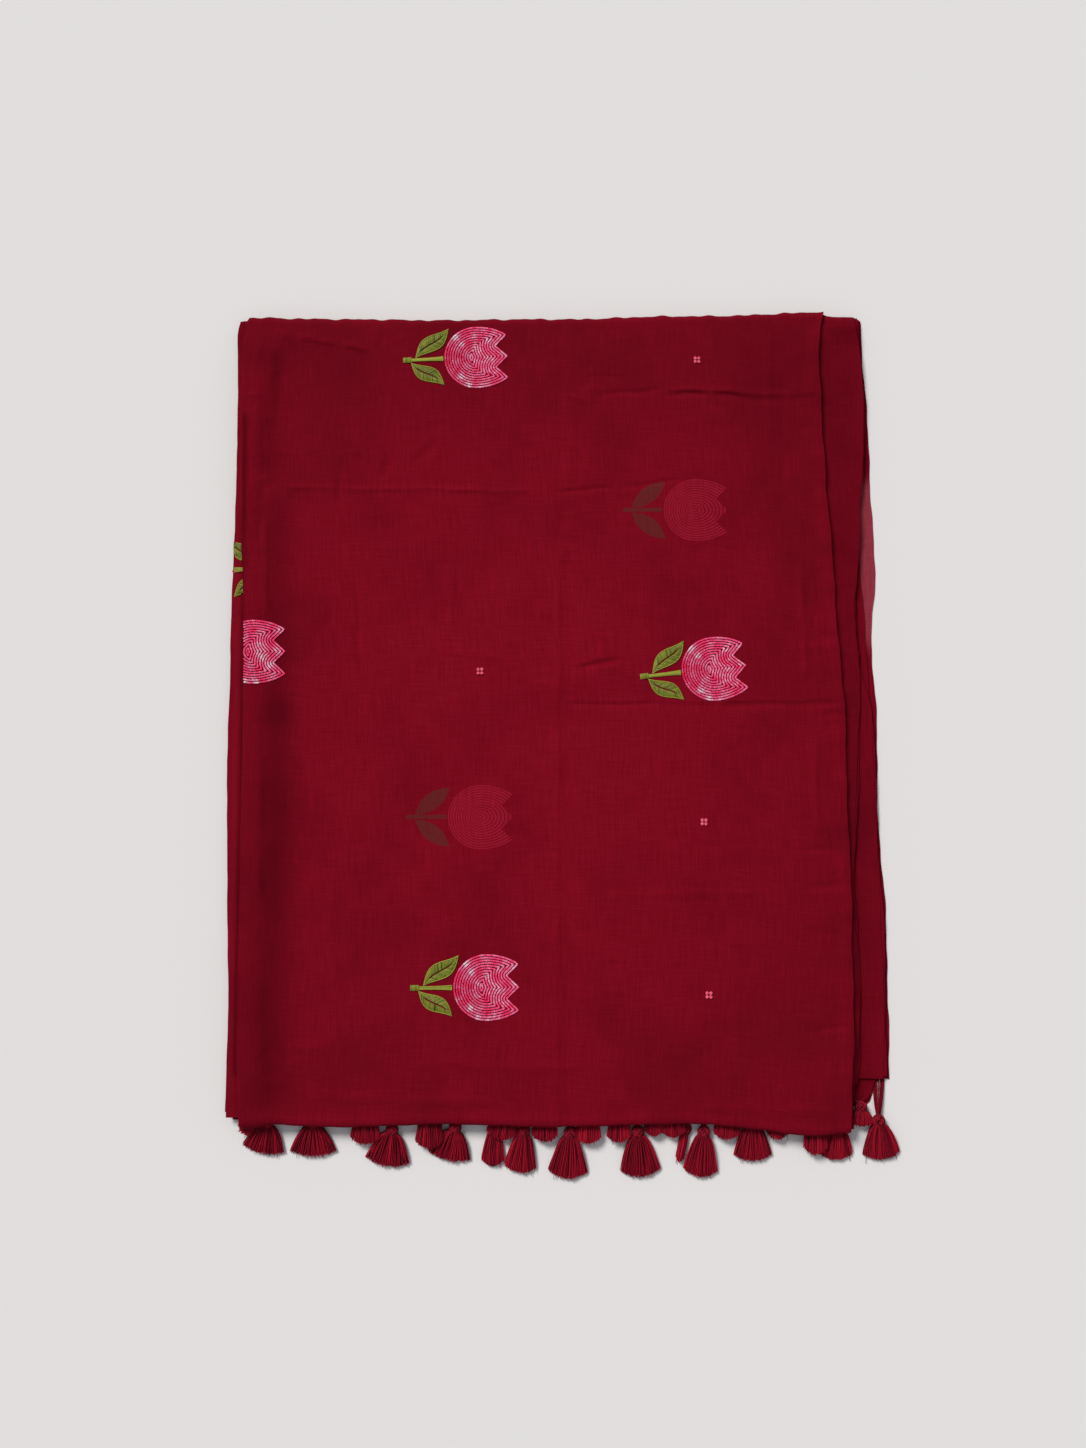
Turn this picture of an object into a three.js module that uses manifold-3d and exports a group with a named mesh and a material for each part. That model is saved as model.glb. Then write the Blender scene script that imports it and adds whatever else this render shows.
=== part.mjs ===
// A sari folded flat: one long cloth, halved selvedge to selvedge and then doubled end to end,
// with knotted tassels along the pallu end, which lies underneath and reaches out at the front.
// Millimetres. X runs across the folded cloth, Y along it (back edge +Y), Z up from the underside.
import * as THREE from "three";
import { mergeVertices } from "three/addons/utils/BufferGeometryUtils.js";
import Module from "manifold-3d";

const wasm = await Module();
wasm.setup();

// ---- Driving sizes -------------------------------------------------------------------------
const PLY = 1.0; // wall of one layer of cloth
const PITCH = 1.35; // from one layer to the next, through the stack
const STACK = 15; // height of the whole folded stack
const SEAM = 0.3; // parting between pieces that are one cloth, or that touch

const FRONT_FOLD = { radius: 2.6, tuck: 31, steps: 5 }; // top stretch turns under at the front
const BACK_FOLD = { radius: STACK / 2, steps: 6 }; // pallu stretch rises to the top at the back
const SIDE_FOLD = { radius: PITCH / 2, steps: 3 }; // one layer turns into the next at the left

const FRONT = -388; // nominal front edge of the top stretch
const BACK = 390; // nominal back edge of the stack
const NOMINAL_LEFT = -290; // creases and grid lines are placed on this nominal width
const NOMINAL_RIGHT = 285;

const CLOTH = { color: 0x7b0d1e, roughness: 0.86, metalness: 0 };
const TASSEL_THREAD = { color: 0x93152b, roughness: 0.8, metalness: 0 };

// A table is a list of rows with named columns, lowest first in its first column.
const table = (names, rows) => {
  const keys = names.split(" ");
  return rows.map((row) => Object.fromEntries(row.map((value, i) => [keys[i], value])));
};

// ---- Outlines seen from above --------------------------------------------------------------
const TOP_LEFT_FOLD = table("y x", [
  [-385, -283], [-345, -286], [-276, -287], [71, -288], [169, -292], [363, -293],
]);
const TOP_UPPER_SELVEDGE = table("y x", [
  [-389, 288], [-345, 289], [-271, 291.5], [-206, 292], [-130, 290.6], [-26, 289], [51, 286],
  [120, 281], [198, 277], [238, 275], [308, 271], [379, 274.5], [396, 281],
]);
const TOP_LOWER_SELVEDGE = table("y x", [
  [-360, 291], [-310, 297], [-206, 295.6], [-165, 294.5], [-100, 299], [-30, 303],
  [33, 305.5], [100, 303], [155, 308], [210, 299], [388, 299],
]);
const PALLU_LEFT_FOLD = table("y x", [
  [-372, -299], [-280, -298.3], [-83, -304.5], [110, -302.6], [278, -298.3], [365, -300],
]);
const PALLU_UPPER_SELVEDGE = table("y x", [
  [-335, 322], [-200, 323], [-130, 319], [-30, 318], [60, 312], [150, 309], [388, 311],
]);
const PALLU_LOWER_SELVEDGE = table("y x", [
  [-335, 325], [-210, 326], [-131, 321], [-55, 320], [66, 317], [134, 321.5], [268, 318.5],
  [387, 313.5],
]);
const FRONT_EDGE = table("x y", [
  [-292, -380], [-283, -386], [-230, -388.6], [-70, -386], [16, -387], [100, -383],
  [140, -383], [205, -388.6], [270, -393], [289, -390.6],
]);
const BACK_EDGE = table("x y", [[-300, 388.7], [0, 392], [281, 396], [314, 390]]);
const PALLU_END = table("x y", [
  [-299, -374], [-275, -367], [-240, -353], [-150, -350], [325, -347.5],
]);
const UPPER_END_SHORT = 5.5; // the pallu's upper layer ends this far behind its lower one
const NOMINAL_END = -350; // most of the pallu's end lies near this y
const END_EASE = 100; // the end's own outline fades out over this much cloth

// ---- Creases of the top stretch, as low ridges ---------------------------------------------
const CREASES = table("x1 y1 x2 y2 height width", [
  [-236, 370, -236, 215, 0.8, 10], // left, far
  [-236, -43, -236, -110, 0.6, 10], // left, middle
  [-236, -285, -236, -332, 0.5, 10], // left, near
  [-174, 140, -174, 45, 0.5, 8],
  [16.5, -380, 16.5, 385, 0.8, 6], // press fold down the whole length
  [20, 14, 285, 14, 0.7, 6], // press fold across the right half
  [105, 318, 250, 318, 0.7, 6],
]);
const ACROSS_LINES = [
  -246, -236, -226, -182, -174, -166, -110, -50, 10.5, 16.5, 22.5, 80, 140, 200, 250,
];
const ALONG_LINES = [
  -350, -332, -285, -220, -160, -110, -43, 8, 14, 20, 45, 90, 140, 215, 270, 312, 318, 324, 370,
];

const INNER_ACROSS = [0, 0.2, 0.45, 0.7, 0.95, 1]; // grid lines of the layer underneath
const PALLU_ALONG_LINES = [-350, -320, -280, -200, -130, -60, 60, 134, 210, 268, 330];
const PALLU_ACROSS = [0.6, 0.86]; // beside the columns of its end's outline

// ---- The stretches hidden between, one rounded slab each -----------------------------------
// share: how far the slab's sides go from the top stretch's outline (0) to the pallu's (1)
// back: how far it reaches past the back fold's centre; corner: how far its front left corner
// is dragged forward
const HIDDEN = table("bottom top share front back corner", [
  [2.65, 4.9, 0.9, -344, 1.2, -34],
  [4.5, 7.2, 0.62, -342, 4.3, -30],
  [6.9, 9.5, 0.4, -345, 4.5, -12],
  [9.2, 12.35, 0.15, -345, 1.9, 0],
]);
const DRAGGED_CORNER = { width: 10, ease: 22, halfway: 0.3 };
const SLAB_LINES = { along: [-330, -280, -206, -130, -60, 33, 110, 155, 210, 278, 345], back: [-120, 80] };

// ---- Tassels -------------------------------------------------------------------------------
// The long row is knotted from the pallu's lower layer, the short row from its upper layer.
// x y: middle of the knot; turn: degrees toward -X; length: knot to hem; width: at the hem;
// root: where its threads leave the cloth, across from the knot
const TASSELS = table("row x y turn length width root", [
  ["short", -269.9, -381.6, 52, 22, 16, 0],
  ["long", -256.4, -385.6, 19, 31, 36, 6],
  ["long", -216.2, -386.2, 0, 31, 45, 0],
  ["short", -166.7, -365, 0, 40, 24, 3],
  ["long", -141.9, -392.6, 9, 34, 43, -4],
  ["short", -106.4, -366.9, 0, 42, 24, 2],
  ["long", -82.7, -390.8, 12, 31, 42, 4],
  ["short", -33.6, -363.2, 9, 38, 28, 4],
  ["covered", -45.4, -390.8, 3, 35, 19, -4],
  ["long", -17.9, -393.5, 6, 39, 31, 2],
  ["short", 1.9, -363.2, 0, 39.5, 21, -3],
  ["long", 25.4, -395.4, 3, 42, 38, -4],
  ["short", 42.4, -365, 0, 39.5, 18, 3],
  ["short", 71.6, -365, 0, 38.5, 18, -2],
  ["long", 89.3, -394.5, -4, 41.5, 39, 0],
  ["short", 104.2, -361.3, 0, 36.5, 11, 3],
  ["short", 121, -362.2, -3, 36.5, 20, -2],
  ["covered", 134.2, -391.7, 11, 31, 9, 3],
  ["long", 151.3, -394.5, 5, 41.5, 33, 4],
  ["short", 173.3, -363.2, 0, 37.5, 22, -3],
  ["long", 197.4, -385.3, 0, 36, 37, 2],
  ["short", 220.4, -362.2, 0, 38.5, 16, 2],
  ["short", 256, -372.4, 0, 42, 18, -4],
  ["long", 276.4, -384.3, 2, 36, 33, 3],
  ["short", 300.5, -359.5, 0, 26, 13, -2],
  ["long", 315.9, -384.3, -5, 36, 36, 2],
]);
const KNOT = { width: 12, height: 9, lift: 0.4, sides: 6, rings: 5 };
const ROWS = {
  long: { knotHeight: KNOT.height, hemZ: 0.35, upperLayer: false },
  covered: { knotHeight: 4.2, hemZ: 0.35, upperLayer: false }, // lies under a short one's skirt
  short: { knotHeight: KNOT.height, hemZ: 5, upperLayer: true },
};
// Locks of one skirt: spread runs from -1 to 1 across it, tier 0 is below tier 1.
const LOCKS = table("spread tier", [
  [-1, 0], [-0.5, 0], [0, 0], [0.5, 0], [1, 0], [-0.66, 1], [0.06, 1], [0.7, 1],
]);
// fill: share of the hem's width that its lower locks cover; sunk: how far their roots lie under
// the knot's middle; bend: where along a lock it bends, and how far it has then come down
const LOCK = {
  thickness: 1.3, rootWidth: 2.4, rootSpread: 3.2, fill: 0.56, tierStep: 1.65, hemArc: 0.08, sunk: 1.2,
  bend: { along: 0.4, across: 0.42, down: 0.45 },
};
const ROOT_THREADS = {
  width: 8, thickness: 0.7, knotWidth: 2.6,
  bend: { most: 6, along: 0.4, across: 0.6, width: 0.75 },
};

// ---- Small helpers -------------------------------------------------------------------------
// Reads a table between its rows.
function read(rows, input, output, value) {
  let i = 0;
  while (i < rows.length - 2 && rows[i + 1][input] < value) i += 1;
  const share = (value - rows[i][input]) / (rows[i + 1][input] - rows[i][input]);
  return THREE.MathUtils.lerp(rows[i][output], rows[i + 1][output], THREE.MathUtils.clamp(share, 0, 1));
}
const sideAt = (rows, y) => read(rows, "y", "x", y);
const endAt = (rows, x) => read(rows, "x", "y", x);

// Signed volume of an indexed triangle mesh.
function volume(positions, index) {
  const corner = (i) => new THREE.Vector3().fromArray(positions, 3 * index[i]);
  let total = 0;
  for (let i = 0; i < index.length; i += 3) {
    total += corner(i).dot(corner(i + 1).cross(corner(i + 2))) / 6;
  }
  return total;
}

// A closed geometry from its points and four-cornered faces, with the faces turned outwards.
function closedGeometry(points, faces) {
  const positions = points.flatMap((p) => [p.x, p.y, p.z]);
  const index = faces.flatMap((f) => {
    const fan = [];
    for (let i = 1; i < f.length - 1; i += 1) fan.push(f[0], f[i], f[i + 1]);
    return fan;
  });
  if (volume(positions, index) < 0) index.reverse();
  const geometry = new THREE.BufferGeometry();
  geometry.setAttribute("position", new THREE.Float32BufferAttribute(positions, 3));
  geometry.setIndex(index);
  geometry.computeVertexNormals();
  return geometry;
}

// A closed body from rings of points in order, each ring a loop. Its flat ends are triangulated
// from each end ring's outline, which outlineOf gives as flat points.
function loft(rings, outlineOf) {
  const count = rings[0].length;
  const last = (rings.length - 1) * count;
  const faces = [];
  for (let r = 0; r < rings.length - 1; r += 1) {
    for (let i = 0; i < count; i += 1) {
      const next = (i + 1) % count;
      faces.push([r * count + i, r * count + next, (r + 1) * count + next, (r + 1) * count + i]);
    }
  }
  const cap = (ring) => THREE.ShapeUtils.triangulateShape(ring.map(outlineOf), []);
  faces.push(...cap(rings[0]).map(([a, b, c]) => [c, b, a]));
  faces.push(...cap(rings.at(-1)).map(([a, b, c]) => [last + a, last + b, last + c]));
  return closedGeometry(rings.flat(), faces);
}

// A wall between an outer and an inner grid of points, closed round its rim.
function wall(outer, inner) {
  const rows = outer.length;
  const columns = outer[0].length;
  const front = (r, c) => r * columns + c;
  const rear = (r, c) => rows * columns + r * columns + c;
  const faces = [];
  for (let r = 0; r < rows - 1; r += 1) {
    for (let c = 0; c < columns - 1; c += 1) {
      faces.push([front(r, c), front(r, c + 1), front(r + 1, c + 1), front(r + 1, c)]);
      faces.push([rear(r, c), rear(r + 1, c), rear(r + 1, c + 1), rear(r, c + 1)]);
    }
    for (const c of [0, columns - 1]) {
      const rim = [front(r, c), front(r + 1, c), rear(r + 1, c), rear(r, c)];
      faces.push(c === 0 ? rim : rim.reverse());
    }
  }
  for (let c = 0; c < columns - 1; c += 1) {
    for (const r of [0, rows - 1]) {
      const rim = [front(r, c), rear(r, c), rear(r, c + 1), front(r, c + 1)];
      faces.push(r === 0 ? rim : rim.reverse());
    }
  }
  return closedGeometry([...outer.flat(), ...inner.flat()], faces);
}

// ---- Cloth folded in two at its left side --------------------------------------------------
// The section runs over the outer layer from its selvedge (across = 1) to the left fold
// (across = 0), round the fold, and back over the inner layer. height is the distance from the
// outer layer's middle, and (nx, nh) points out of the wall.
function foldedSection(outerAcross, innerAcross) {
  const section = outerAcross.map((across) => (
    { across, height: 0, bulge: 0, nx: 0, nh: -1, inner: false }
  ));
  for (let i = 1; i < SIDE_FOLD.steps; i += 1) {
    const angle = (Math.PI * i) / SIDE_FOLD.steps;
    section.push({
      across: 0,
      height: SIDE_FOLD.radius * (1 - Math.cos(angle)),
      bulge: SIDE_FOLD.radius * Math.sin(angle),
      nx: -Math.sin(angle),
      nh: -Math.cos(angle),
      inner: angle > Math.PI / 2,
    });
  }
  for (const across of innerAcross) {
    section.push({ across, height: PITCH, bulge: 0, nx: 0, nh: 1, inner: true });
  }
  return section;
}

// Sweeps the section along a path of stations. A station gives its nominal y, its height z, the
// direction (ny, nz) from the outer layer to the inner one, and ends, a function from x and layer
// to the shift in y that brings it onto the real edge.
function foldedCloth(section, path, outline) {
  const grid = (side) => path.map((station) => section.map((spot) => {
    const left = outline.left(station);
    const right = spot.inner ? outline.innerRight(station) : outline.outerRight(station);
    const x = THREE.MathUtils.lerp(left + SIDE_FOLD.radius, right, spot.across);
    const nominalX = THREE.MathUtils.lerp(NOMINAL_LEFT, NOMINAL_RIGHT, spot.across);
    const lift = spot.height === 0 && station.flat ? ridge(nominalX, station.y) : 0;
    const height = spot.height + (side * PLY * spot.nh) / 2 - lift;
    return new THREE.Vector3(
      x - spot.bulge + (side * PLY * spot.nx) / 2,
      station.y + station.shift(x, spot.inner) + station.ny * height,
      station.z + station.nz * height,
    );
  }));
  return wall(grid(1), grid(-1));
}

// Height of the creases at a nominal place on the top stretch.
function ridge(x, y) {
  return Math.max(0, ...CREASES.map((c) => {
    const line = new THREE.Line3(new THREE.Vector3(c.x1, c.y1, 0), new THREE.Vector3(c.x2, c.y2, 0));
    const spot = new THREE.Vector3(x, y, 0);
    const away = line.closestPointToPoint(spot, true, new THREE.Vector3()).distanceTo(spot);
    return c.height * (1 - away / c.width);
  }));
}

const outerMiddle = (radius) => radius - PLY / 2;
const partingAngle = Math.asin(SEAM / 2 / (BACK_FOLD.radius - PLY - PITCH));
const backShift = (x) => endAt(BACK_EDGE, x) - BACK;
const frontShift = (x) => endAt(FRONT_EDGE, x) - FRONT;

// Stations round the back edge, from one angle to another, 90 degrees being the top.
function backFold(from, to) {
  const r = outerMiddle(BACK_FOLD.radius);
  return Array.from({ length: BACK_FOLD.steps + 1 }, (_, i) => {
    const angle = THREE.MathUtils.lerp(from, to, i / BACK_FOLD.steps);
    return {
      y: BACK - BACK_FOLD.radius + r * Math.cos(angle),
      z: BACK_FOLD.radius + r * Math.sin(angle),
      ny: -Math.cos(angle),
      nz: -Math.sin(angle),
      turn: Math.cos(angle),
      shift: backShift,
    };
  });
}

// The selvedges slide from the top's outline to the pallu's as the cloth rounds the back edge.
const blended = (own, other) => (station) => {
  const y = THREE.MathUtils.clamp(station.y, FRONT, BACK);
  const share = station.turn ? station.turn / 2 : 0;
  return THREE.MathUtils.lerp(sideAt(own, y), sideAt(other, y), share);
};

// ---- The top stretch -----------------------------------------------------------------------
function topStretch() {
  const r = outerMiddle(FRONT_FOLD.radius);
  const centre = { y: FRONT + FRONT_FOLD.radius, z: STACK - FRONT_FOLD.radius };
  const path = [
    { y: centre.y + FRONT_FOLD.tuck, z: centre.z - r, ny: 0, nz: 1, shift: frontShift },
  ];
  for (let i = 0; i <= FRONT_FOLD.steps; i += 1) {
    const angle = Math.PI * (i / FRONT_FOLD.steps - 0.5);
    path.push({
      y: centre.y - r * Math.cos(angle),
      z: centre.z + r * Math.sin(angle),
      ny: Math.cos(angle),
      nz: -Math.sin(angle),
      shift: frontShift,
    });
  }
  const back = backFold(Math.PI / 2, partingAngle);
  for (const y of ALONG_LINES) {
    const share = (y - centre.y) / (back[0].y - centre.y);
    const shift = (x) => THREE.MathUtils.lerp(frontShift(x), backShift(x), share);
    path.push({ y, z: STACK - PLY / 2, ny: 0, nz: -1, flat: true, shift });
  }
  path.push(...back);
  const share = (x) => (x - NOMINAL_LEFT) / (NOMINAL_RIGHT - NOMINAL_LEFT);
  const outerAcross = [0, ...ACROSS_LINES.map(share), 1].reverse();
  return foldedCloth(foldedSection(outerAcross, INNER_ACROSS), path, {
    left: blended(TOP_LEFT_FOLD, PALLU_LEFT_FOLD),
    outerRight: blended(TOP_UPPER_SELVEDGE, PALLU_LOWER_SELVEDGE),
    innerRight: blended(TOP_LOWER_SELVEDGE, PALLU_UPPER_SELVEDGE),
  });
}

// ---- The pallu stretch, at the bottom -------------------------------------------------------
function palluStretch() {
  const endShift = (x, inner) => (
    endAt(PALLU_END, x) - NOMINAL_END + (inner ? UPPER_END_SHORT : 0)
  );
  const back = backFold(-Math.PI / 2, -partingAngle);
  const path = PALLU_ALONG_LINES.map((y) => {
    const share = (y - NOMINAL_END) / (back[0].y - NOMINAL_END);
    const fade = Math.max(0, 1 - (y - NOMINAL_END) / END_EASE);
    const shift = (x, inner) => fade * endShift(x, inner) + share * backShift(x);
    return { y, z: PLY / 2, ny: 0, nz: 1, shift };
  });
  path.push(...back);
  const left = PALLU_END[0].x;
  const width = PALLU_END.at(-1).x - left;
  const endColumns = PALLU_END.map((row) => (row.x - left) / width);
  const across = [...endColumns, ...PALLU_ACROSS].sort((a, b) => b - a);
  return foldedCloth(foldedSection(across, [...across].reverse()), path, {
    left: blended(PALLU_LEFT_FOLD, TOP_LEFT_FOLD),
    outerRight: blended(PALLU_LOWER_SELVEDGE, TOP_UPPER_SELVEDGE),
    innerRight: blended(PALLU_UPPER_SELVEDGE, TOP_LOWER_SELVEDGE),
  });
}

// ---- The hidden stretches ------------------------------------------------------------------
// One slab's outline, going round from the front left corner: front, right, back and left.
function slabOutline(slab) {
  const backY = BACK - BACK_FOLD.radius + slab.back;
  const between = (top, pallu) => (y) => (
    THREE.MathUtils.lerp(sideAt(top, y), sideAt(pallu, y), slab.share)
  );
  const left = between(TOP_LEFT_FOLD, PALLU_LEFT_FOLD);
  const right = between(TOP_LOWER_SELVEDGE, PALLU_UPPER_SELVEDGE);
  const corner = left(slab.front) + DRAGGED_CORNER.width;
  const front = [
    [left(slab.front), slab.front + slab.corner],
    [corner, slab.front + slab.corner],
    [corner + DRAGGED_CORNER.ease / 2, slab.front + slab.corner * DRAGGED_CORNER.halfway],
    [corner + DRAGGED_CORNER.ease, slab.front],
    [0, slab.front],
    [right(slab.front), slab.front],
  ];
  const back = SLAB_LINES.back.map((x) => [x, backY + backShift(x)]);
  const corners = [right(backY), left(backY)].map((x) => [x, backY + backShift(x)]);
  return [
    ...front,
    ...SLAB_LINES.along.map((y) => [right(y), y]),
    corners[0],
    ...back.reverse(),
    corners[1],
    ...SLAB_LINES.along.map((y) => [left(y), y]).reverse(),
  ].map(([x, y]) => new THREE.Vector2(x, y));
}

// The outline drawn in by a distance, each corner moved along the middle of its two edges.
function drawnIn(outline, distance) {
  return outline.map((point, i) => {
    const before = outline[(i + outline.length - 1) % outline.length];
    const after = outline[(i + 1) % outline.length];
    const edgeIn = point.clone().sub(before).normalize();
    const edgeOut = after.clone().sub(point).normalize();
    const inward = new THREE.Vector2(-edgeIn.y - edgeOut.y, edgeIn.x + edgeOut.x).normalize();
    const reach = distance / Math.max(0.5, inward.dot(new THREE.Vector2(-edgeIn.y, edgeIn.x)));
    return point.clone().addScaledVector(inward, reach);
  });
}

// A slab with half round edges.
function slabSolid(slab) {
  const outline = slabOutline(slab);
  const radius = (slab.top - slab.bottom) / 2;
  const steps = 4; // of the half round edge
  const rings = Array.from({ length: steps + 1 }, (_, i) => {
    const angle = Math.PI * (i / steps - 0.5);
    const z = (slab.top + slab.bottom) / 2 + radius * Math.sin(angle);
    return drawnIn(outline, radius * (1 - Math.cos(angle))).map((p) => new THREE.Vector3(p.x, p.y, z));
  });
  return toSolid(loft(rings, (p) => new THREE.Vector2(p.x, p.y)));
}

// ---- Joining ---------------------------------------------------------------------------------
function toSolid(geometry) {
  const bare = geometry.clone();
  bare.deleteAttribute("normal");
  bare.deleteAttribute("uv");
  const merged = mergeVertices(bare, 1e-4);
  return new wasm.Manifold(new wasm.Mesh({
    numProp: 3,
    vertProperties: new Float32Array(merged.attributes.position.array),
    triVerts: new Uint32Array(merged.index.array),
  }));
}

function joined(solids) {
  const mesh = solids.reduce((whole, solid) => whole.add(solid)).getMesh();
  const geometry = new THREE.BufferGeometry();
  geometry.setAttribute("position", new THREE.Float32BufferAttribute(mesh.vertProperties, 3));
  geometry.setIndex([...mesh.triVerts]);
  geometry.computeVertexNormals();
  return geometry;
}

// ---- Tassels -------------------------------------------------------------------------------
const acrossStrand = (p) => new THREE.Vector2(p.x, p.z);

// A strand of triangular section through stations of x, y, z and width, flat side down.
function lockSolid(stations) {
  return toSolid(loft(stations.map((s) => [
    new THREE.Vector3(s.x - s.width / 2, s.y, s.z),
    new THREE.Vector3(s.x + s.width / 2, s.y, s.z),
    new THREE.Vector3(s.x, s.y, s.z + LOCK.thickness),
  ]), acrossStrand));
}

// A flat strand of four sides through stations of x, y, z and width.
function threadSolid(stations) {
  const half = ROOT_THREADS.thickness / 2;
  return toSolid(loft(stations.map((s) => [
    new THREE.Vector3(s.x - s.width / 2, s.y, s.z - half),
    new THREE.Vector3(s.x + s.width / 2, s.y, s.z - half),
    new THREE.Vector3(s.x + s.width / 2, s.y, s.z + half),
    new THREE.Vector3(s.x - s.width / 2, s.y, s.z + half),
  ]), acrossStrand));
}

// The skirt's locks run from inside the knot to the hem, spreading as they go.
function skirt(tassel, row) {
  const knotZ = KNOT.lift + row.knotHeight / 2;
  return LOCKS.map((lock) => {
    const tierZ = lock.tier * LOCK.tierStep;
    const hemWidth = (LOCK.fill * tassel.width) / 4;
    const hemX = (lock.spread * (tassel.width - hemWidth)) / 2;
    const rootX = lock.spread * LOCK.rootSpread;
    const arch = tassel.length * (1 - LOCK.hemArc * lock.spread * lock.spread);
    const rootZ = knotZ - LOCK.sunk;
    const solid = lockSolid([
      { x: rootX, y: -1, z: rootZ + tierZ / 2, width: LOCK.rootWidth },
      {
        x: THREE.MathUtils.lerp(rootX, hemX, LOCK.bend.across),
        y: -LOCK.bend.along * arch,
        z: THREE.MathUtils.lerp(rootZ, row.hemZ, LOCK.bend.down) + tierZ,
        width: THREE.MathUtils.lerp(LOCK.rootWidth, hemWidth, 0.5),
      },
      { x: hemX, y: -arch, z: row.hemZ + tierZ, width: hemWidth },
    ]);
    return solid.rotate([0, 0, -tassel.turn]);
  });
}

// The threads that the tassel is knotted from, out of the cloth's end.
function rootThreads(tassel, row) {
  const x = tassel.root;
  const { width, bend } = ROOT_THREADS;
  const clothEnd = Math.min(
    ...[-width / 2, 0, width / 2].map((side) => endAt(PALLU_END, tassel.x + x + side)),
  );
  const endY = clothEnd + (row.upperLayer ? UPPER_END_SHORT : 0) - SEAM;
  const clothZ = row.upperLayer ? PLY / 2 + PITCH : PLY / 2;
  const run = endY - tassel.y;
  return threadSolid([
    { x: 0, y: 0.5, z: KNOT.lift + row.knotHeight / 2, width: ROOT_THREADS.knotWidth },
    {
      x: x * bend.across,
      y: run - Math.min(bend.most, run * bend.along),
      z: clothZ,
      width: width * bend.width,
    },
    { x, y: run, z: clothZ, width },
  ]);
}

function tasselGeometry(tassel) {
  const row = ROWS[tassel.row];
  const ball = new THREE.SphereGeometry(KNOT.width / 2, KNOT.sides, KNOT.rings);
  ball.rotateX(Math.PI / 2);
  ball.scale(1, 1, row.knotHeight / KNOT.width);
  ball.translate(0, 0, KNOT.lift + row.knotHeight / 2);
  const solid = joined([toSolid(ball), ...skirt(tassel, row), rootThreads(tassel, row)]);
  return solid.translate(tassel.x, tassel.y, 0);
}

// ---- The whole sari ------------------------------------------------------------------------
const sari = new THREE.Group();
const addPiece = (name, geometry, look) => {
  const mesh = new THREE.Mesh(geometry, new THREE.MeshStandardMaterial(look));
  mesh.name = name;
  sari.add(mesh);
};

addPiece("pallu_stretch", palluStretch(), CLOTH);
addPiece("hidden_stretches", joined(HIDDEN.map(slabSolid)), CLOTH);
addPiece("top_stretch", topStretch(), CLOTH);
TASSELS.forEach((tassel, i) => {
  addPiece(`tassel_${String(i + 1).padStart(2, "0")}`, tasselGeometry(tassel), TASSEL_THREAD);
});

export default sari;
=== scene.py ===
# %% [markdown]
# # A folded sari
#
# A sari is one unstitched cloth of about six metres. For the shelf it is halved selvedge to
# selvedge and then doubled end to end three times, which gives eight stretches of two layers each.
# The pallu, the decorated end, lies at the bottom, and the tassels knotted from its warp reach out
# past the front edge. The solids from the frame give every size and place; this lesson dresses
# them with thin cloth, thread and sequins.

# %% Load the frame
import math

import bpy
import numpy as np
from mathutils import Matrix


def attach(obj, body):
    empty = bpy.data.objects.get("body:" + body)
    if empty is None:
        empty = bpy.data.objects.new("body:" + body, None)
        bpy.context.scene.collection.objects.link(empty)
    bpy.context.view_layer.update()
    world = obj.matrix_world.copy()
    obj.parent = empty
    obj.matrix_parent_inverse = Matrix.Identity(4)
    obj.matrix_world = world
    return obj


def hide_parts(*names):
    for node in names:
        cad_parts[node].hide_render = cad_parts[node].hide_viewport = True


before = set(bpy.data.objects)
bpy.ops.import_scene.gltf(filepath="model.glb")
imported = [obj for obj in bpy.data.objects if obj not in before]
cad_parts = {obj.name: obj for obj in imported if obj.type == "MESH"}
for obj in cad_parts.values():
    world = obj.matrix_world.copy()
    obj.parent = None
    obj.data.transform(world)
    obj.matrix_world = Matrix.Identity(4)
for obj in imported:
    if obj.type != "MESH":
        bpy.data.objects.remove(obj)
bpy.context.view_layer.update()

MM = 0.001  # lengths below are in millimetres, and meshes are in metres

# %% [markdown]
# ## Camera, floor and light
#
# A garment that is folded flat is seen from above, almost straight down. The camera stands about a
# metre and a quarter up and leans by five degrees, so that the front edge with its tassels is
# nearest. The floor is plain and pale. The main light is a sun lamp with a very wide disc, which
# stands for a large window beyond the left back corner: it keeps the floor even and the shadows
# soft, and it comes in low enough to show creases. An even sky fills the rest.

# %% Camera
CAMERA = {
    "place": (0, -119.0, 1255.3), "lean": 5.0, "lens": 32.3, "sensor": 36, "clip": (0.05, 50),
}


def new_object(name, data):
    """Wraps data in an object and links it to the scene."""
    made = bpy.data.objects.new(name, data)
    bpy.context.collection.objects.link(made)
    return made


def place_camera():
    data = bpy.data.cameras.new("camera")
    data.lens = CAMERA["lens"]
    data.sensor_width = CAMERA["sensor"]
    data.clip_start, data.clip_end = CAMERA["clip"]
    camera = new_object("camera", data)
    camera.location = [v * MM for v in CAMERA["place"]]
    camera.rotation_euler = (math.radians(CAMERA["lean"]), 0, 0)
    bpy.context.scene.camera = camera
    return camera


print("camera at", place_camera().location[:])

# %% [markdown]
# A colour is written as the sRGB hex value that an eye would name, and one function turns it into
# the linear light that the renderer works in. One more small function adds a node with its settings
# and links, for materials and Geometry Nodes alike.

# %% Helpers for colours and nodes
def linear(hex_colour):
    parts = [int(hex_colour[i:i + 2], 16) / 255 for i in (1, 3, 5)]
    return tuple(v / 12.92 if v <= 0.04045 else ((v + 0.055) / 1.055) ** 2.4 for v in parts) + (1,)


def add(tree, kind, inputs=(), **settings):
    """Adds a node, sets its options, and links or sets each of its inputs named here."""
    node = tree.nodes.new(kind)
    for name, value in settings.items():
        setattr(node, name, value)
    for key, value in dict(inputs).items():
        if isinstance(value, bpy.types.NodeSocket):
            tree.links.new(value, node.inputs[key])
        else:
            node.inputs[key].default_value = value
    return node


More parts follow.
